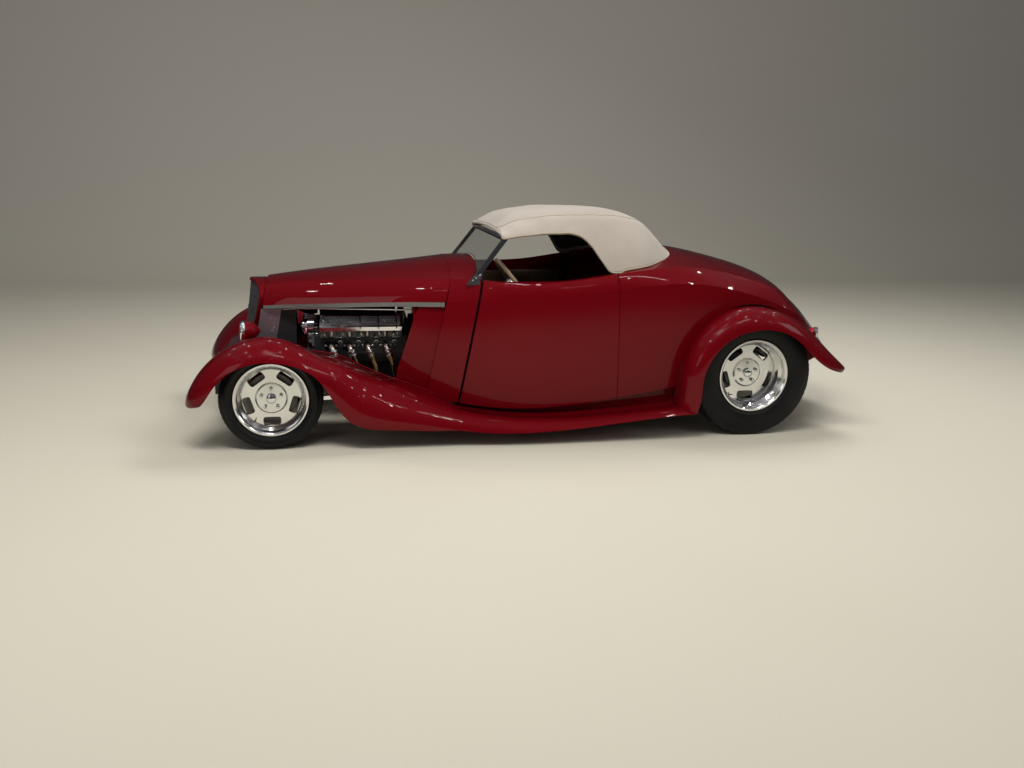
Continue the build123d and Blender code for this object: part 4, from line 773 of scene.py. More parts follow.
# wheels: tyres are a turned profile with grooves pressed into the tread and raised rings on the sidewalls
wheelRows = {
    "front": {"station": 0.0, "y": 0.630, "radius": 0.288, "width": 0.185, "rim": 0.209, "rimWidth": 0.164,
              "recess": 0.062, "steps": 330, "tread": 84, "grooves": 4},
    "rear": {"station": 2.845, "y": 0.660, "radius": 0.371, "width": 0.264, "rim": 0.222, "rimWidth": 0.230,
             "recess": 0.110, "steps": 400, "tread": 104, "grooves": 6},
}
tyreLook = {
    "grooveDepth": 0.0060, "grooveWidth": 0.0072, "zigzag": 0.0022, "zigzagStep": 0.036, "margin": 0.045,
    "sipeDepth": 0.0036, "sipeStep": 0.031, "sipeWidth": 0.0023, "slant": 0.35, "ringRise": 0.0004,
}


def tyreProfile(row):
    r, rim = row["radius"], row["rim"]
    h, b = row["width"] / 2, row["rimWidth"] / 2 - 0.009
    wall = arcThrough((rim + 0.016, h - 0.006), ((rim + r) / 2 + 0.002, h), (r - 0.024, h - 0.012), 26)[::-1]
    shoulder = arcThrough((r - 0.024, h - 0.012), (r - 0.007, h - 0.022), (r - 0.002, h - 0.040), 9)[::-1]
    tread = arcThrough((r - 0.002, -h + 0.040), (r, 0), (r - 0.002, h - 0.040), row["tread"])
    upper = np.concatenate([tread, shoulder[1:], wall[1:], [(rim + 0.003, b), (rim - 0.0136, b - 0.008)]])
    lower = np.array([(rim - 0.0136, -b + 0.008), (rim + 0.003, -b)])
    wallIn, shoulderIn = wall[::-1] * (1, -1), shoulder[::-1] * (1, -1)
    return np.concatenate([lower, wallIn, shoulderIn[1:-1], upper])


# depth of the zigzag grooves and slanted sipes, for each row of the profile and each step round the tyre
def treadDepth(row, along, radius):
    look, r, h = tyreLook, row["radius"], row["width"] / 2
    arc = np.linspace(0, 2 * np.pi, row["steps"], endpoint=False)[None] * r
    groove = np.zeros_like(along + arc)
    for j, lane in enumerate(np.linspace(look["margin"] - h, h - look["margin"], row["grooves"])):
        shift = look["zigzag"] * np.abs(((arc / look["zigzagStep"] + 0.5 * j) % 1.0) * 2 - 1)
        away = np.abs(along - lane - shift) / (look["grooveWidth"] / 2)
        groove = np.maximum(groove, np.clip(1.6 - away, 0, 1))
    period = 2 * np.pi * r / round(2 * np.pi * r / look["sipeStep"])
    away = np.abs((arc + look["slant"] * np.abs(along)) / period % 1.0 - 0.5) * period
    sipe = np.clip(1.5 - away / look["sipeWidth"], 0, 1)
    zone = np.clip((h - 0.016 - np.abs(along)) / 0.004, 0, 1) * (radius > r - 0.03)
    return zone * np.maximum(groove * look["grooveDepth"], sipe * look["sipeDepth"])


def makeTyres():
    for place, row in wheelRows.items():
        r, h, rim, steps = row["radius"], row["width"] / 2, row["rim"], row["steps"]
        profile = tyreProfile(row)
        radius, along = profile[:, :1], profile[:, 1:]
        press = treadDepth(row, along, radius)[..., None]
        rings = ((rim + 0.022, 0.0022), (r - 0.034, 0.0018), ((rim + r) / 2 + 0.010, 0.0012))
        rise = sum(np.exp(-((radius - ring) / wide) ** 2) for ring, wide in rings) * (np.abs(along) > h - 0.03)
        for hand, side in sides.items():
            middle = at(row["station"], side * row["y"], r)
            points = revolved(profile, middle, (0, 1, 0), steps)
            offset = (points - middle) * (1, 0, 1)
            points -= offset / np.maximum(np.linalg.norm(offset, axis=-1, keepdims=True), 1e-9) * press
            points[..., 1] -= tyreLook["ringRise"] * rise * np.sign(along)
            piece = addPiece("tyre" + place.capitalize() + hand.capitalize(), points,
                             gridFaces(len(profile), steps, True, True), "rubber", "wheel_" + place[0] + hand[0])
            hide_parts("tyre_" + place + "_" + hand)


# wheel fittings: hub cap, acorn nuts, valve stem; profiles are (radius, along)
wheelLook = {
    "nutCircle": 0.05715,
    "cap": ((0, 0.020), (0.0262, 0.020), (0.0277, 0.024), (0.0262, 0.029), (0.02253, 0.033), (0.01441, 0.036),
            (0.00524, 0.0375), (0, 0.038)),
    "nut": ((0, 0.018), (0.0098, 0.018), (0.0098, 0.027), (0.00843, 0.0315), (0.0049, 0.035), (0, 0.036)),
    "stem": ((-0.047, 0.004), (-0.053, 0.014), (-0.059, 0.030)), "stemTurn": 234,
    "stemRadii": ((0, 4, 8, 9, 11), (0.0042, 0.0032, 0.003, 0.0036, 0.0034)),
}


def makeWheelFittings():
    look = wheelLook
    for place, row in wheelRows.items():
        face = row["y"] + row["rimWidth"] / 2 - row["recess"]
        for hand, side in sides.items():
            body, tail = "wheel_" + place[0] + hand[0], place.capitalize() + hand.capitalize()
            middle, axis = at(row["station"], side * face, row["radius"]), (0, side, 0)
            addTurned("hubCap" + tail, look["cap"], middle, axis, body=body)
            spots = [middle + look["nutCircle"] * spokeAt(turn) for turn in range(90, 450, 72)]
            joined("wheelNuts" + tail, [addTurned("nut", look["nut"], spot, axis, body=body, steps=24)
                                        for spot in spots])
            spoke = spokeAt(look["stemTurn"])
            stem = [middle + spoke * (row["rim"] + out) + (0, side * lift, 0) for out, lift in look["stem"]]
            radii = np.interp(np.arange(12), *look["stemRadii"])
            addTube("valveStem" + tail, smoothPath(stem, 12), radii, "gloss", body, 12)


# engine dress: cover fins and bolts, header collars and flange bolts, plug boots, grooved pulleys, stay rods
engineLook = {
    "ports": (0.340, 0.448, 0.556, 0.664), "portY": 0.330, "portZ": 0.505, "headerWay": (0.042, -0.004, -0.105),
    "finCount": 6, "finStart": 0.013, "finStep": 0.0125, "finLift": 0.0022, "fin": (0.470, 0.0034, 0.0075),
    "coverCorner": (0.517, 0.266, 0.690), "boltStart": 0.300, "boltStep": 0.1085,
    "boltEdges": ((0.2365, 0.6535, -1), (0.300, 0.5775, 1)),
    "bolt": ((0, -0.004), (0.0062, -0.004), (0.0062, 0.006), (0.0046, 0.0078), (0, 0.008)),
    "collar": ((0.0168, -0.009), (0.0218, -0.009), (0.0238, -0.006), (0.0238, 0.006), (0.0218, 0.009),
               (0.0168, 0.009)),
    "collarsAt": (0.026, 0.050), "flangeY": 0.2655, "flangeBoltsAt": (-0.030, 0.030),
    "flangeBolt": ((0, 0), (0.0075, 0), (0.0075, 0.0075), (0.0055, 0.010), (0, 0.0102)),
    "plug": (0.054, 0.250, 0.538), "plugWay": (0.86, -0.51), "plugRing": (0.0098, 0.0030), "bootLength": 0.062,
    "boot": (0.0105, 0.0105, 0.0088, 0.0088, 0.0078, 0.0078, 0.0086, 0.0086, 0.0070, 0.0040),
    "pulleys": ((0, 0.385, 0.082), (0, 0.560, 0.068), (-0.205, 0.620, 0.040), (0.200, 0.585, 0.046),
                (-0.190, 0.430, 0.034)),
    "pulleyFace": ((0.22, -0.014), (0.26, -0.004), (0.60, -0.003), (0.66, -0.0075), (0.90, -0.0085),
                   (0.95, -0.002), (0.95, 0.002)),
    "alternator": (0.236, -0.205, 0.620), "ribCount": 18, "ribRadius": 0.0625, "rib": (0.050, 0.006, 0.0035),
    "rod": ((0.045, 0.196, 0.716), (0.10, 0.214, 0.722), (0.45, 0.318, 0.734), (0.78, 0.415, 0.742),
            (0.824, 0.428, 0.743)),
    "hose": ((-0.055, 0.12, 0.728), (0.02, 0.12, 0.728), (0.10, 0.10, 0.716), (0.20, 0.07, 0.668),
             (0.262, 0.06, 0.668)),
}


def pulleyProfile(r):
    profile = [(r - 0.010, 0.0)]
    for k in range(6):
        start = 0.003 + 0.0035 * k
        profile += [(r + 0.0012, start), (r + 0.0012, start + 0.0012), (r - 0.0008, start + 0.0022)]
    return profile + [(r - 0.010, 0.0256)]


def makeEngineDress():
    look = engineLook
    fins, bolts, collars, boots, tips, flangeBolts = [], [], [], [], [], []
    around = np.linspace(0, 2 * np.pi, 14, endpoint=False)
    reach, bead = look["plugRing"]
    plugRing = np.stack([reach + bead * np.cos(around), bead * np.sin(around)], 1)
    for side in (-1, 1):
        down = np.array([0, side, -1]) * math.sqrt(0.5)
        up = down * (1, 1, -1)
        corner = placed(look["coverCorner"], side) + up * look["finLift"]
        for i in range(look["finCount"]):
            fins.append(addBlock("fin", corner + down * (look["finStart"] + look["finStep"] * i), look["fin"],
                                 "polished", turn=[(1, 0, 0), down, up], edge=0.001))
        for i in range(5):
            for y, z, way in look["boltEdges"]:
                spot = at(look["boltStart"] + look["boltStep"] * i, side * y, z)
                bolts.append(addTurned("bolt", look["bolt"], spot, (0, side * way, -way), steps=16))
        way = np.array(look["headerWay"]) * (1, side, 1)
        way /= np.linalg.norm(way)
        out = np.array([0, side * look["plugWay"][0], look["plugWay"][1]])
        for port in look["ports"]:
            mouth = at(port, side * look["portY"], look["portZ"])
            collars += [addRing("collar", look["collar"], mouth + way * away, way, steps=40)
                        for away in look["collarsAt"]]
            spots = [at(port + along, side * look["flangeY"], look["portZ"]) for along in look["flangeBoltsAt"]]
            flangeBolts += [addTurned("flangeBolt", look["flangeBolt"], spot, (0, side, 0), steps=12)
                            for spot in spots]
            root = at(port, 0, 0) + np.array(look["plug"]) * (1, side, 1)
            run = root + out * np.linspace(0, look["bootLength"], 10)[:, None]
            boots.append(addTube("boot", run, look["boot"], "gloss", sides=18))
            tips.append(addRing("tip", plugRing, root + out * 0.022, out, "ceramic", steps=24))
    for name, parts in (("coverFins", fins), ("coverBolts", bolts), ("headerCollars", collars),
                        ("headerBolts", flangeBolts), ("plugBoots", boots), ("plugRings", tips)):
        joined(name, parts)
    joined("pulleyGrooves", [addRing("groove", pulleyProfile(r), at(0.1782, y, z), (1, 0, 0), steps=72)
                             for y, z, r in look["pulleys"]])
    joined("pulleyFaces", [
        addTurned("nose", [(0, -0.016)] + [(r * wide, x) for wide, x in look["pulleyFace"]] + [(0, 0.002)],
                  at(0.178, y, z), (1, 0, 0), steps=56) for y, z, r in look["pulleys"]])
    ribs = []
    for turn in np.arange(look["ribCount"]) * 2 * math.pi / look["ribCount"]:
        out = np.array([0, math.cos(turn), math.sin(turn)])
        ribs.append(addBlock("rib", at(*look["alternator"]) + out * look["ribRadius"], look["rib"], "polished",
                             turn=[(1, 0, 0), out, (0, -math.sin(turn), math.cos(turn))], edge=0.0008))
    joined("alternatorRibs", ribs)
    joined("stayRods", [addTube("rod", smoothPath(placed(look["rod"], side), 30), 0.0055, sides=14)
                        for side in (-1, 1)])
    addTube("radiatorHose", smoothPath(placed(look["hose"]), 40), 0.019, "rubberHose", sides=20)


# lamps: rings, bowls and bezels, as (radius, along) about the lamp's own axis
lampPieces = {
    "front": (-0.164, 0.334, 0.614), "rear": (3.393, 0.366, 0.562), "rearWay": (0.87, 0.49), "rearReach": 0.0615,
    "ring": ((0.0492, -0.004), (0.0500, -0.0095), (0.0535, -0.0130), (0.0580, -0.0115), (0.0618, -0.005),
             (0.0632, 0.006), (0.0630, 0.0145), (0.0605, 0.0150), (0.0600, 0.004), (0.0500, 0.0005)),
    "bowl": ((0.0470, 0.006), (0.042, 0.0125), (0.030, 0.0180), (0.014, 0.0205), (0.0065, 0.0208),
             (0.0060, 0.0120), (0.0035, 0.0085), (0.0002, 0.0075), (0.0002, 0.0215), (0.0472, 0.0215)),
    "bezel": ((0.0245, -0.002), (0.0255, 0.0030), (0.0285, 0.0045), (0.0318, 0.0025), (0.0330, -0.004),
              (0.0328, -0.020), (0.0303, -0.020), (0.0302, -0.002)),
}


def makeLampDress():
    rings, bowls, bezels = [], [], []
    for side in (-1, 1):
        middle = placed(lampPieces["front"], side)
        rings.append(addRing("ring", lampPieces["ring"], middle, (1, 0, 0), steps=72))
        bowls.append(addRing("bowl", lampPieces["bowl"], middle, (1, 0, 0), "mirror", steps=56))
        way = np.array([*lampPieces["rearWay"], 0]) * (1, side, 1) / math.hypot(*lampPieces["rearWay"])
        spot = placed(lampPieces["rear"], side) + way * lampPieces["rearReach"]
        bezels.append(addRing("bezel", lampPieces["bezel"], spot, way))
    joined("headlightRings", rings)
    joined("headlightBowls", bowls)
    joined("tailBezels", bezels)


# body trim: strip under the hood edge, bead on the fender's inner edge, rubber round the glass, foot screws
trimLook = {
    "strip": ((-0.050, 0.222, 0.755), (-0.015, 0.232, 0.757), (0.320, 0.3395, 0.775), (0.700, 0.4515, 0.795),
              (0.992, 0.5345, 0.802)),
    "lane": ((0, 0), (0.002, -0.002), (0.002, -0.028), (0, -0.030), (-0.004, -0.029), (-0.005, -0.015),
             (-0.004, 0.004)),
    "stripInset": 0.004, "bead": 0.0042, "beadLift": 0.0035,
    "fenderEdge": ((0.165, 0.395, 0.508), (0.400, 0.395, 0.462), (0.520, 0.405, 0.402), (0.650, 0.440, 0.349),
                   (0.800, 0.482, 0.301), (0.930, 0.512, 0.251), (1.060, 0.534, 0.190)),
    "glassFoot": (1.158, 0.930), "glassHead": (1.343, 1.168), "glassLow": (0.538, 0.032),
    "glassMid": (0.541, 0.096), "glassTop": (0.521, -0.011), "seal": 0.0046,
    "screws": ((1.150, 0.570, 0.934), (1.168, 0.570, 0.948), (1.190, 0.570, 0.963)),
    "screw": ((0, -0.002), (0.0055, -0.002), (0.0055, 0.0015), (0.0040, 0.0032), (0, 0.0036)),
}


def makeBodyTrim():
    look = trimLook
    edge = smoothPath(look["strip"])
    strips, beads, screws = [], [], []
    for side in (-1, 1):
        lanes = [placed(edge + (0, out - look["stripInset"], up), side) for out, up in look["lane"]]
        faces = cappedFaces(len(edge), len(lanes))
        strips.append(addPiece("strip", np.stack(lanes, 1), faces, "trim", "hood", False))
        run = placed(look["fenderEdge"], side) + (0, 0, look["beadLift"])
        beads.append(addTube("bead", smoothPath(run, 70), look["bead"], "paint", sides=12))
        screws += [addTurned("screw", look["screw"], spot, (0, side, 0), steps=18)
                   for spot in placed(look["screws"], side)]
    joined("hoodStrips", strips)
    joined("fenderBeads", beads)
    foot, head = np.array(look["glassFoot"]), np.array(look["glassHead"])
    length = np.linalg.norm(head - foot)
    half = np.array([look["glassLow"], look["glassMid"], (look["glassTop"][0], length + look["glassTop"][1])])
    # the outline runs up the right side and down the left one
    corner = np.concatenate([half[:1] * (-1, 1), half, half[::-1] * (-1, 1)])
    run = evenly(corner, 161)[:-1]
    rail = foot + (head - foot) / length * run[:, 1:]
    seal = np.stack([axleX + rail[:, 0], run[:, 0], rail[:, 1]], 1)
    addTube("windshieldSeal", seal, look["seal"], "rubberHose", sides=8, closed=True)
    joined("windshieldScrews", screws)


# rubber strips inside the walls close the gaps along the door edges
# columns: station at z = 0, slope, strip from, strip to, probe
sealLook = {
    "front": (1.0333, 0.1824, -0.028, 0.034, 0.020), "rear": (2.0267, -0.0324, -0.014, 0.022, -0.020),
    "low": 0.250, "high": 1.0, "inset": 0.0030, "thick": 0.0040,
}


def makeDoorSeals():
    strips = []
    heights = np.linspace(sealLook["low"], sealLook["high"], 90)
    for hand, side in sides.items():
        door = treeOf("door_" + hand)
        for end in ("front", "rear"):
            start, slope, near, far, probe = sealLook[end]
            edge = start + slope * heights
            depth = depthsOf(door, edge + probe, heights, side)
            known = np.flatnonzero(~np.isnan(depth))[:-1]
            wall = side * (depth[known] - sealLook["inset"])
            lanes = [np.stack([axleX + edge[known] + reach, wall, heights[known]], 1) for reach in (near, far)]
            strip = addPiece("strip", np.stack(lanes, 1), gridFaces(len(known), 2), "rubberHose", flip=side > 0)
            strips.append(withThickness(strip, sealLook["thick"]))
    joined("doorSeals", strips)


# how far out a ray from the middle plane meets the door, nan where it misses
def depthsOf(door, stations, heights, side):
    spots = [door.ray_cast((axleX + s, 0, z), (0, side, 0))[0] for s, z in zip(stations, heights)]
    return np.array([abs(spot[1]) if spot else np.nan for spot in spots])


# painted ledges a little below the surface, so that the seams read as thin lines
# columns: node that carries the ledge, station at z = 0, slope, probe, ledge from, ledge to, turns in degrees
ledgeLook = {
    "middle": 0.60, "sink": 0.0042, "thick": 0.0020, "away": 1.4,
    "rows": (("cowl", 0.8325, 0.2132, 0.006, -0.0036, 0.0010, 27, 153),
             ("grille_shell", -0.2016, 0.1900, -0.005, -0.0010, 0.0036, 36, 144),
             ("rear_body", 2.0267, -0.0324, 0.008, -0.0012, 0.0035, -36, 26),
             ("rear_body", 2.0267, -0.0324, 0.008, -0.0012, 0.0035, 154, 216)),
}


def makeSeamLedges():
    strips = []
    for node, start, slope, probe, near, far, first, last in ledgeLook["rows"]:
        tree, rows = treeOf(node), []
        for turn in np.radians(np.linspace(first, last, 90)):
            way = np.array([math.cos(turn), math.sin(turn)])
            core = np.array([0, ledgeLook["middle"]])
            away, middle = [np.array([axleX + start + slope * z + probe, y, z])
                            for y, z in (core + way * ledgeLook["away"], core)]
            hit = tree.ray_cast(away, Vector(middle - away).normalized())[0]
            if hit is None:
                continue
            y, z = np.array([hit[1], hit[2]]) - way * ledgeLook["sink"]
            rows.append([(axleX + start + slope * z + reach, y, z) for reach in (near, far)])
        strip = addPiece("strip", np.array(rows), gridFaces(len(rows), 2), "paint")
        strips.append(withThickness(strip, ledgeLook["thick"], 0.0))
    joined("seamLedges", strips)


# steering wheel: gripped rim, three spokes and a hub button, all turned about the column
wheelDress = {
    "middle": (1.435, -0.330, 0.891), "axis": (0.794, 0, 0.608), "radius": 0.166, "rim": 0.0128, "grips": 44,
    "gripDepth": 0.075, "spokeStart": 0.024, "spokeHalf": 0.0135, "dish": -0.010,
    "lane": ((-1, -0.0018), (-0.7, 0.0022), (0.7, 0.0022), (1, -0.0018)),
    "hub": ((0, -0.050), (0.026, -0.050), (0.030, -0.030), (0.034, -0.014), (0.035, -0.006), (0.031, 0.000),
            (0.026, 0.001), (0, 0.001)),
    "button": ((0, 0.0), (0.024, 0.0), (0.0245, 0.004), (0.021, 0.0085), (0.012, 0.0115), (0, 0.0125)),
}


def makeSteeringWheel():
    look = wheelDress
    middle, axis, radius = at(*look["middle"]), np.array(look["axis"]), look["radius"]
    across = np.array([0, 1.0, 0])
    upward = np.cross(axis, across)
    angle = np.linspace(0, 2 * np.pi, 264, endpoint=False)
    around = np.linspace(0, 2 * np.pi, 18, endpoint=False)
    spoke = np.cos(angle)[:, None] * across + np.sin(angle)[:, None] * upward
    press = np.abs(np.cos(angle * look["grips"] / 2))[:, None] * np.clip(-np.cos(around) * 1.4, 0, 1)[None]
    bead = look["rim"] * (1 - look["gripDepth"] * press)
    rim = (middle + (radius + (bead * np.cos(around))[..., None]) * spoke[:, None]
           + (bead * np.sin(around))[..., None] * axis)
    piece = addPiece("wheelRim", rim, gridFaces(264, 18, True, True), "gripHide", "steering")
    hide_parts("steering_wheel")
    reach = np.linspace(look["spokeStart"], radius - 0.004, 16)[:, None]
    dish = look["dish"] * (1 - (reach / radius) ** 2)
    half = look["spokeHalf"] - 0.004 * (reach - look["spokeStart"]) / 0.14
    bars = []
    for turn in np.radians((90, 210, 330)):
        way = math.cos(turn) * across + math.sin(turn) * upward
        flank = np.cross(axis, way)
        lanes = [middle + reach * way + half * u * flank + (dish + v) * axis for u, v in look["lane"]]
        bars.append(addPiece("spoke", np.stack(lanes, 1), cappedFaces(16, 4), "polished", "steering", False))
    joined("wheelSpokes", bars)
    addTurned("wheelHub", look["hub"], middle, axis, "polished", "steering")
    addTurned("wheelButton", look["button"], middle, axis, body="steering")


# cabin: gauges, door pads, pedals, shifter
cabinLook = {
    "gauges": ((-0.395, 0.040), (-0.270, 0.040), (-0.165, 0.026), (-0.090, 0.026), (-0.015, 0.026)),
    "gaugeZ": 0.905, "gaugeAxis": (0.985, 0, 0.17), "ticks": 24, "firstTick": 225, "needle": 200,
    "padLow": 0.285, "padHigh": 0.855, "padFront": (1.0748, 0.1824), "padRear": (1.9967, -0.0324),
    "crown": 0.011, "channel": 0.085, "channelDepth": 0.0045, "padGap": 0.0015, "padBack": 0.0008,
    "pull": ((1.52, 0.014, 0.600), (1.56, 0.036, 0.606), (1.70, 0.040, 0.610), (1.74, 0.014, 0.606)),
    "pedals": ((-0.245, 0.050, 0.365), (-0.330, 0.070, 0.380), (-0.415, 0.070, 0.380)),
    "pedalTilt": ((0.5, 0, 0.866), (0, 1, 0), (-0.866, 0, 0.5)),
    "stem": ((0.983, 0, 0), (0.930, 0, 0.09), (0.860, 0, 0.22), (0.824, 0, 0.25)),
    "shifter": ((1.330, 0, 0.40), (1.335, 0, 0.53), (1.352, 0, 0.60), (1.402, 0, 0.70)),
    "knob": ((0, -0.018), (0.010, -0.017), (0.019, -0.010), (0.0225, 0.0), (0.020, 0.010), (0.012, 0.0175),
             (0, 0.020)),
}


# a mark on a dial, turned about its middle: share and length are parts of the radius
def addMark(spot, r, degrees, share, size, lift, finish, edge):
    axis, across, turn = np.array(cabinLook["gaugeAxis"]), np.array([0, 1.0, 0]), math.radians(degrees)
    way = math.cos(turn) * across + math.sin(turn) * np.cross(axis, across)
    return addBlock("mark", spot + way * r * share + axis * lift, (r * size[0], *size[1:]), finish,
                    turn=[way, np.cross(axis, way), axis], edge=edge)


def makeGauges():
    look, dash = cabinLook, treeOf("dashboard")
    bezels, dials, ticks, needles = [], [], [], []
    axis = np.array(look["gaugeAxis"])
    for y, r in look["gauges"]:
        spot = np.array(dash.ray_cast((axleX + 1.6, y, look["gaugeZ"]), (-1, 0, 0))[0])
        bezels.append(addRing("bezel", [(r, 0.002), (r + 0.001, 0.007), (r + 0.005, 0.0095), (r + 0.0095, 0.007),
                                        (r + 0.011, -0.010), (r, -0.010)], spot, axis, steps=56))
        dials.append(addTurned("dial", [(0, -0.008), (r + 0.002, -0.008), (r + 0.002, 0.0032), (0, 0.0032)], spot,
                               axis, "gloss", steps=56))
        for k in range(look["ticks"] * 3 // 4 + 1):
            size = 0.16 if k % 3 == 0 else 0.09
            ticks.append(addMark(spot, r, look["firstTick"] - 360 * k / look["ticks"], 0.88 - size / 2,
                                 (size, 0.0011, 0.0008), 0.0036, "ivory", 0.0002))
        needles.append(addMark(spot, r, look["needle"], 0.30, (0.86, 0.0016, 0.0010), 0.0052, "ember", 0.0003))
    joined("gaugeBezels", bezels)
    joined("gaugeDials", dials)
    joined("gaugeTicks", ticks)
    joined("gaugeNeedles", needles)


# a pad laid on the inner side of each door: crowned, with upright channels, and closed at the back
def makeDoorPads():
    look = cabinLook
    heights = np.linspace(look["padLow"], look["padHigh"], 44)
    share = np.linspace(0, 1, 72)[:, None]
    front, rear = (start + slope * heights for start, slope in (look["padFront"], look["padRear"]))
    stations = front[None] * (1 - share) + rear[None] * share
    rows, cols = stations.shape
    u = np.abs(np.linspace(-1, 1, rows))[:, None]
    v = np.abs(np.linspace(-1, 1, cols))[None]
    crown = look["crown"] * np.clip((1 - u**12) * (1 - v**12), 0, 1) ** 0.5
    channel = np.abs(((stations / look["channel"]) % 1.0) * 2 - 1) ** 4
    middle = np.clip((0.80 - v) / 0.05, 0, 1) * np.clip((0.93 - u) / 0.03, 0, 1)
    quads = gridFaces(rows, cols)
    rim = np.concatenate([np.arange(cols), np.arange(1, rows) * cols + cols - 1,
                          (rows - 1) * cols + np.arange(cols - 2, -1, -1), np.arange(rows - 2, 0, -1) * cols])
    after, under = np.roll(rim, -1), rows * cols
    walls = np.stack([rim, rim + under, after + under, after], 1)
    faces = np.concatenate([quads, quads[:, ::-1] + under, walls])
    for hand, side in sides.items():
        door = treeOf("door_" + hand)
        hits = np.array([depthsOf(door, line, heights, side) for line in stations])
        hits = np.where(np.isnan(hits), np.nanmedian(hits, axis=0)[None], hits)
        face = hits - look["padGap"] - crown + look["channelDepth"] * channel * middle
        z = np.broadcast_to(heights[None], hits.shape)
        points = [np.stack([axleX + stations, side * y, z], -1) for y in (face, hits - look["padBack"])]
        pad = addPiece("doorPad" + hand.capitalize(), np.stack(points), faces, "hide", "door_" + hand[0])
        wall = [np.interp(s, stations[:, 24], hits[:, 24]) for s, out, z in look["pull"]]
        arm = [at(s, side * (w - out), z) for w, (s, out, z) in zip(wall, look["pull"])]
        addTube("doorPull" + hand.capitalize(), smoothPath(arm, 30), 0.008, "polished", "door_" + hand[0], 14)


def makeCabin():
    makeGauges()
    makeDoorPads()
    look = cabinLook
    joined("pedalPads", [addBlock("pedal", at(0.985, y, z), (0.085, wide, 0.012), "rubberHose",
                                  turn=look["pedalTilt"], edge=0.004) for y, wide, z in look["pedals"]])
    joined("pedalStems", [addTube("stem", smoothPath(placed(look["stem"]) + (0, y, z), 20), 0.006, "satinBlack",
                                  sides=12) for y, wide, z in look["pedals"]])
    addTube("shifterStalk", smoothPath(placed(look["shifter"]), 30), 0.0062, sides=14)
    addTurned("shifterKnob", look["knob"], at(1.407, 0, 0.712), (0.4, 0, 0.9), "gloss")


# springs and pipe ends
chassisLook = {
    "coil": (2.905, 0.440, 0.386), "coilRadius": 0.036, "coilHeight": 0.112, "turns": 7, "wire": 0.0052,
    "pipe": (3.430, 0.285, 0.350),
    "tip": ((0.0265, -0.070), (0.0300, -0.070), (0.0305, -0.060), (0.0305, 0.002), (0.0290, 0.004),
            (0.0265, 0.003)),
}


def makeChassisDress():
    look, coils, tips = chassisLook, [], []
    turn = np.linspace(0, 2 * np.pi * look["turns"], 240)
    spiral = np.stack([look["coilRadius"] * np.cos(turn), look["coilRadius"] * np.sin(turn),
                       look["coilHeight"] * turn / turn[-1]], 1)
    for side in (-1, 1):
        coils.append(addTube("coil", spiral + placed(look["coil"], side), look["wire"], sides=10))
        tips.append(addRing("tip", look["tip"], placed(look["pipe"], side), (1, 0, 0)))
    joined("rearCoils", coils)
    joined("pipeTips", tips)


for stage in (makeSoftTop, makeSeat, makeTyres, makeWheelFittings, makeEngineDress, makeLampDress, makeBodyTrim,
              makeDoorSeals, makeSeamLedges, makeSteeringWheel, makeCabin, makeChassisDress):
    stage()
    print(stage.__name__, "done")


shotLook = {"place": (-1.3169, -5.9584, 1.6213), "yaw": 11.49, "pitch": 13.40, "roll": 1.16, "lens": 33.24}


def placeCamera():
    yaw, pitch, roll = (math.radians(shotLook[k]) for k in ("yaw", "pitch", "roll"))
    ahead = Vector((math.sin(yaw) * math.cos(pitch), math.cos(yaw) * math.cos(pitch), -math.sin(pitch)))
    level = Vector((math.cos(yaw), -math.sin(yaw), 0))
    right = level * math.cos(roll) + level.cross(ahead) * math.sin(roll)
    up = right.cross(ahead)
    camera = bpy.data.objects.new("camera", bpy.data.cameras.new("camera"))
    camera.matrix_world = Matrix((right, up, -ahead)).transposed().to_4x4()
    camera.location = shotLook["place"]
    camera.data.lens = shotLook["lens"]
    camera.data.sensor_width = 36.0
    camera.data.clip_end = 200
    bpy.context.scene.collection.objects.link(camera)
    bpy.context.scene.camera = camera


placeCamera()

stageLook = {"floor": (0.625, 0.592, 0.488), "wall": (0.60, 0.56, 0.50), "mirrored": (0.10, 0.10, 0.11),
             "patch": (0.575, 0.535, 0.425), "pile": (0.50, 0.46, 0.36), "size": 26.0, "wallAt": 9.5,
             "bend": 3.0, "top": 12.0}


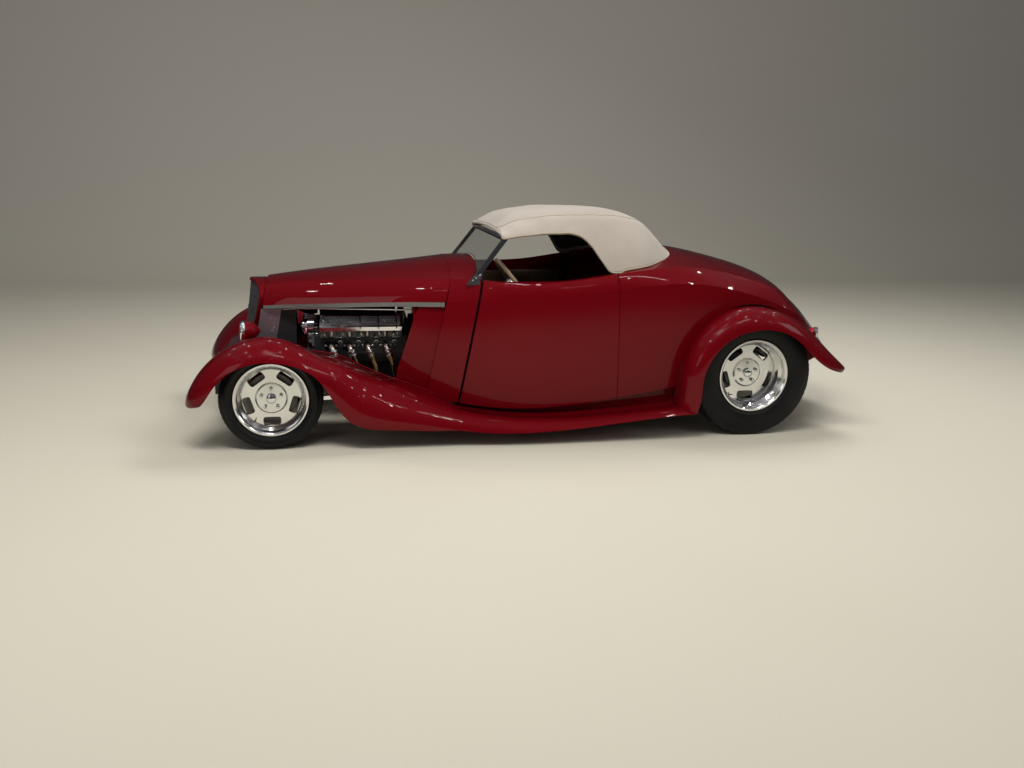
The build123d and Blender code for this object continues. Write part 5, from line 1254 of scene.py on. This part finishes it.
# floor and sweep: a flat carpet that curves up into a wall behind the car
def makeStage():
    half, bend, back = stageLook["size"] / 2, stageLook["bend"], stageLook["wallAt"]
    turn = np.linspace(0, np.pi / 2, 24)
    sweep = np.stack([back - bend + bend * np.sin(turn), bend - bend * np.cos(turn)], 1)
    line = np.concatenate([[[-half, 0.0]], sweep, [[back, stageLook["top"]]]])
    xs = np.array([-half - 6, half + 6])
    points = np.stack([np.broadcast_to(xs, (len(line), 2)), np.repeat(line[:, :1], 2, 1),
                       np.repeat(line[:, 1:], 2, 1)], -1)
    mesh = bpy.data.meshes.new("stageFloor")
    mesh.from_pydata(points.reshape(-1, 3).tolist(), [], gridFaces(len(line), 2).tolist())
    mesh.flip_normals()
    mesh.polygons.foreach_set("use_smooth", np.full(len(mesh.polygons), True))
    floor = bpy.data.objects.new("stageFloor", mesh)
    bpy.context.scene.collection.objects.link(floor)
    mat, tree, vector = freshTree("paleCarpet")
    pile = noiseOf(tree, vector, 140.0, 4.0, 0.7)
    patch = noiseOf(tree, vector, 0.7, 4.0)
    height = partOf(tree, vector, "Z")
    ground = mixColours(tree, ramp(tree, patch, 0.0, 0.25), stageLook["floor"], stageLook["patch"])
    ground = mixColours(tree, ramp(tree, pile, 0.0, 0.22), ground, stageLook["pile"])
    # the paint mirrors a dark hall, the eye sees a pale wall
    path = addNode(tree, "LightPath").outputs
    glossy = mathOf(tree, "SUBTRACT", path["Is Glossy Ray"], path["Is Transmission Ray"], use_clamp=True)
    seen = mixColours(tree, ramp(tree, height, 0, 1, 0.0, 2.5), ground, stageLook["wall"])
    reach = addNode(tree, "VectorMath", {0: vector}, operation="LENGTH").outputs["Value"]
    dark = mathOf(tree, "MULTIPLY", glossy, ramp(tree, reach, 0, 1, 4.0, 7.5))
    floor.data.materials.append(surfaced(mat, mixColours(tree, dark, seen, stageLook["mirrored"]),
                                         bump=(pile, 0.2, 0.003), Roughness=0.95, Specular_IOR_Level=0.15))


makeStage()

# lamps: big soft overheads, a side fill, and small bulbs that give the paint its points of light
lampLook = {"overhead": 200.0, "front": 22.0, "rear": 34.0, "points": 6.0, "tubes": 11.0}


def areaLamp(name, place, aim, size, power, tone=(1, 1, 1)):
    lamp = bpy.data.lights.new(name, "AREA")
    lamp.shape, lamp.size, lamp.size_y, lamp.energy, lamp.color = "RECTANGLE", size[0], size[1], power, tone
    holder = bpy.data.objects.new(name, lamp)
    holder.location = place
    holder.rotation_euler = (Vector(aim) - Vector(place)).to_track_quat("-Z", "Y").to_euler()
    bpy.context.scene.collection.objects.link(holder)
    return holder


areaLamp("overheadFront", (-2.0, -3.2, 5.6), (-0.6, 0, 0.6), (3.6, 1.2), lampLook["overhead"],
         (1, 0.98, 0.95)).visible_glossy = False
areaLamp("overheadRear", (2.4, 1.5, 5.8), (0.6, 0, 0.6), (3.6, 1.2), lampLook["overhead"] * 0.8,
         (0.97, 0.98, 1)).visible_glossy = False
for i, (x, y) in enumerate(((-1.3, -3.4), (-0.9, -4.6), (1.9, -3.6))):
    areaLamp("tube%d" % i, (x, y, 4.9), (x * 0.5, 0, 0.5), (1.3, 0.07), lampLook["tubes"])
areaLamp("sideFill", (-5.5, -6.5, 2.6), (0, 0, 0.6), (2.2, 2.2), lampLook["front"])
areaLamp("tailFill", (6.0, -3.5, 3.2), (1.2, 0, 0.6), (2.0, 2.0), lampLook["rear"])
for i in range(28):
    spot = (-5.4 + 1.8 * (i % 7) + 0.5 * math.sin(3.1 * i), -5.0 + 2.6 * (i // 7) + 0.4 * math.cos(1.7 * i))
    areaLamp("bulb%02d" % i, (spot[0], spot[1], 5.2), (spot[0] * 0.4, 0, 0.4), (0.13, 0.13), lampLook["points"],
             (1, 0.97, 0.92))


# soft: what lights the matt surfaces; low and high: what gloss mirrors near the horizon and overhead;
# back: what the camera sees past the sweep
worldLook = {"soft": (0.170, 0.174, 0.192), "back": (0.42, 0.40, 0.36), "low": (0.035, 0.034, 0.036),
             "high": (0.18, 0.18, 0.20), "strength": 0.85, "lamps": 2.6, "lamp": (13.0, 12.6, 12.0)}


def makeWorld():
    world = bpy.data.worlds.new("room")
    world.use_nodes = True
    tree = world.node_tree
    back = tree.nodes["Background"]
    path = addNode(tree, "LightPath").outputs
    look = addNode(tree, "NewGeometry").outputs["Incoming"]
    height = partOf(tree, look, "Z")
    mirrored = mixColours(tree, ramp(tree, height, 0, 1, -0.15, -0.75), worldLook["low"], worldLook["high"])
    # small hall lamps in rows, seen only in gloss
    ceiling = addNode(tree, "VectorMath", {0: look, 1: height}, operation="DIVIDE").outputs["Vector"]
    spots = addNode(tree, "TexVoronoi", {"Vector": ceiling, "Scale": worldLook["lamps"], "Randomness": 0.7})
    spots = spots.outputs["Distance"]
    lamps = mathOf(tree, "MULTIPLY", ramp(tree, spots, 1, 0, 0.045, 0.075),
                   ramp(tree, height, 0, 1, -0.20, -0.26))
    mirrored = mixColours(tree, lamps, mirrored, worldLook["lamp"])
    lit = mixColours(tree, path["Is Glossy Ray"], worldLook["soft"], mirrored)
    tree.links.new(mixColours(tree, path["Is Camera Ray"], lit, worldLook["back"]), back.inputs["Color"])
    back.inputs["Strength"].default_value = worldLook["strength"]
    bpy.context.scene.world = world


makeWorld()
bpy.context.scene.view_settings.view_transform = "Standard"
print("stage done")
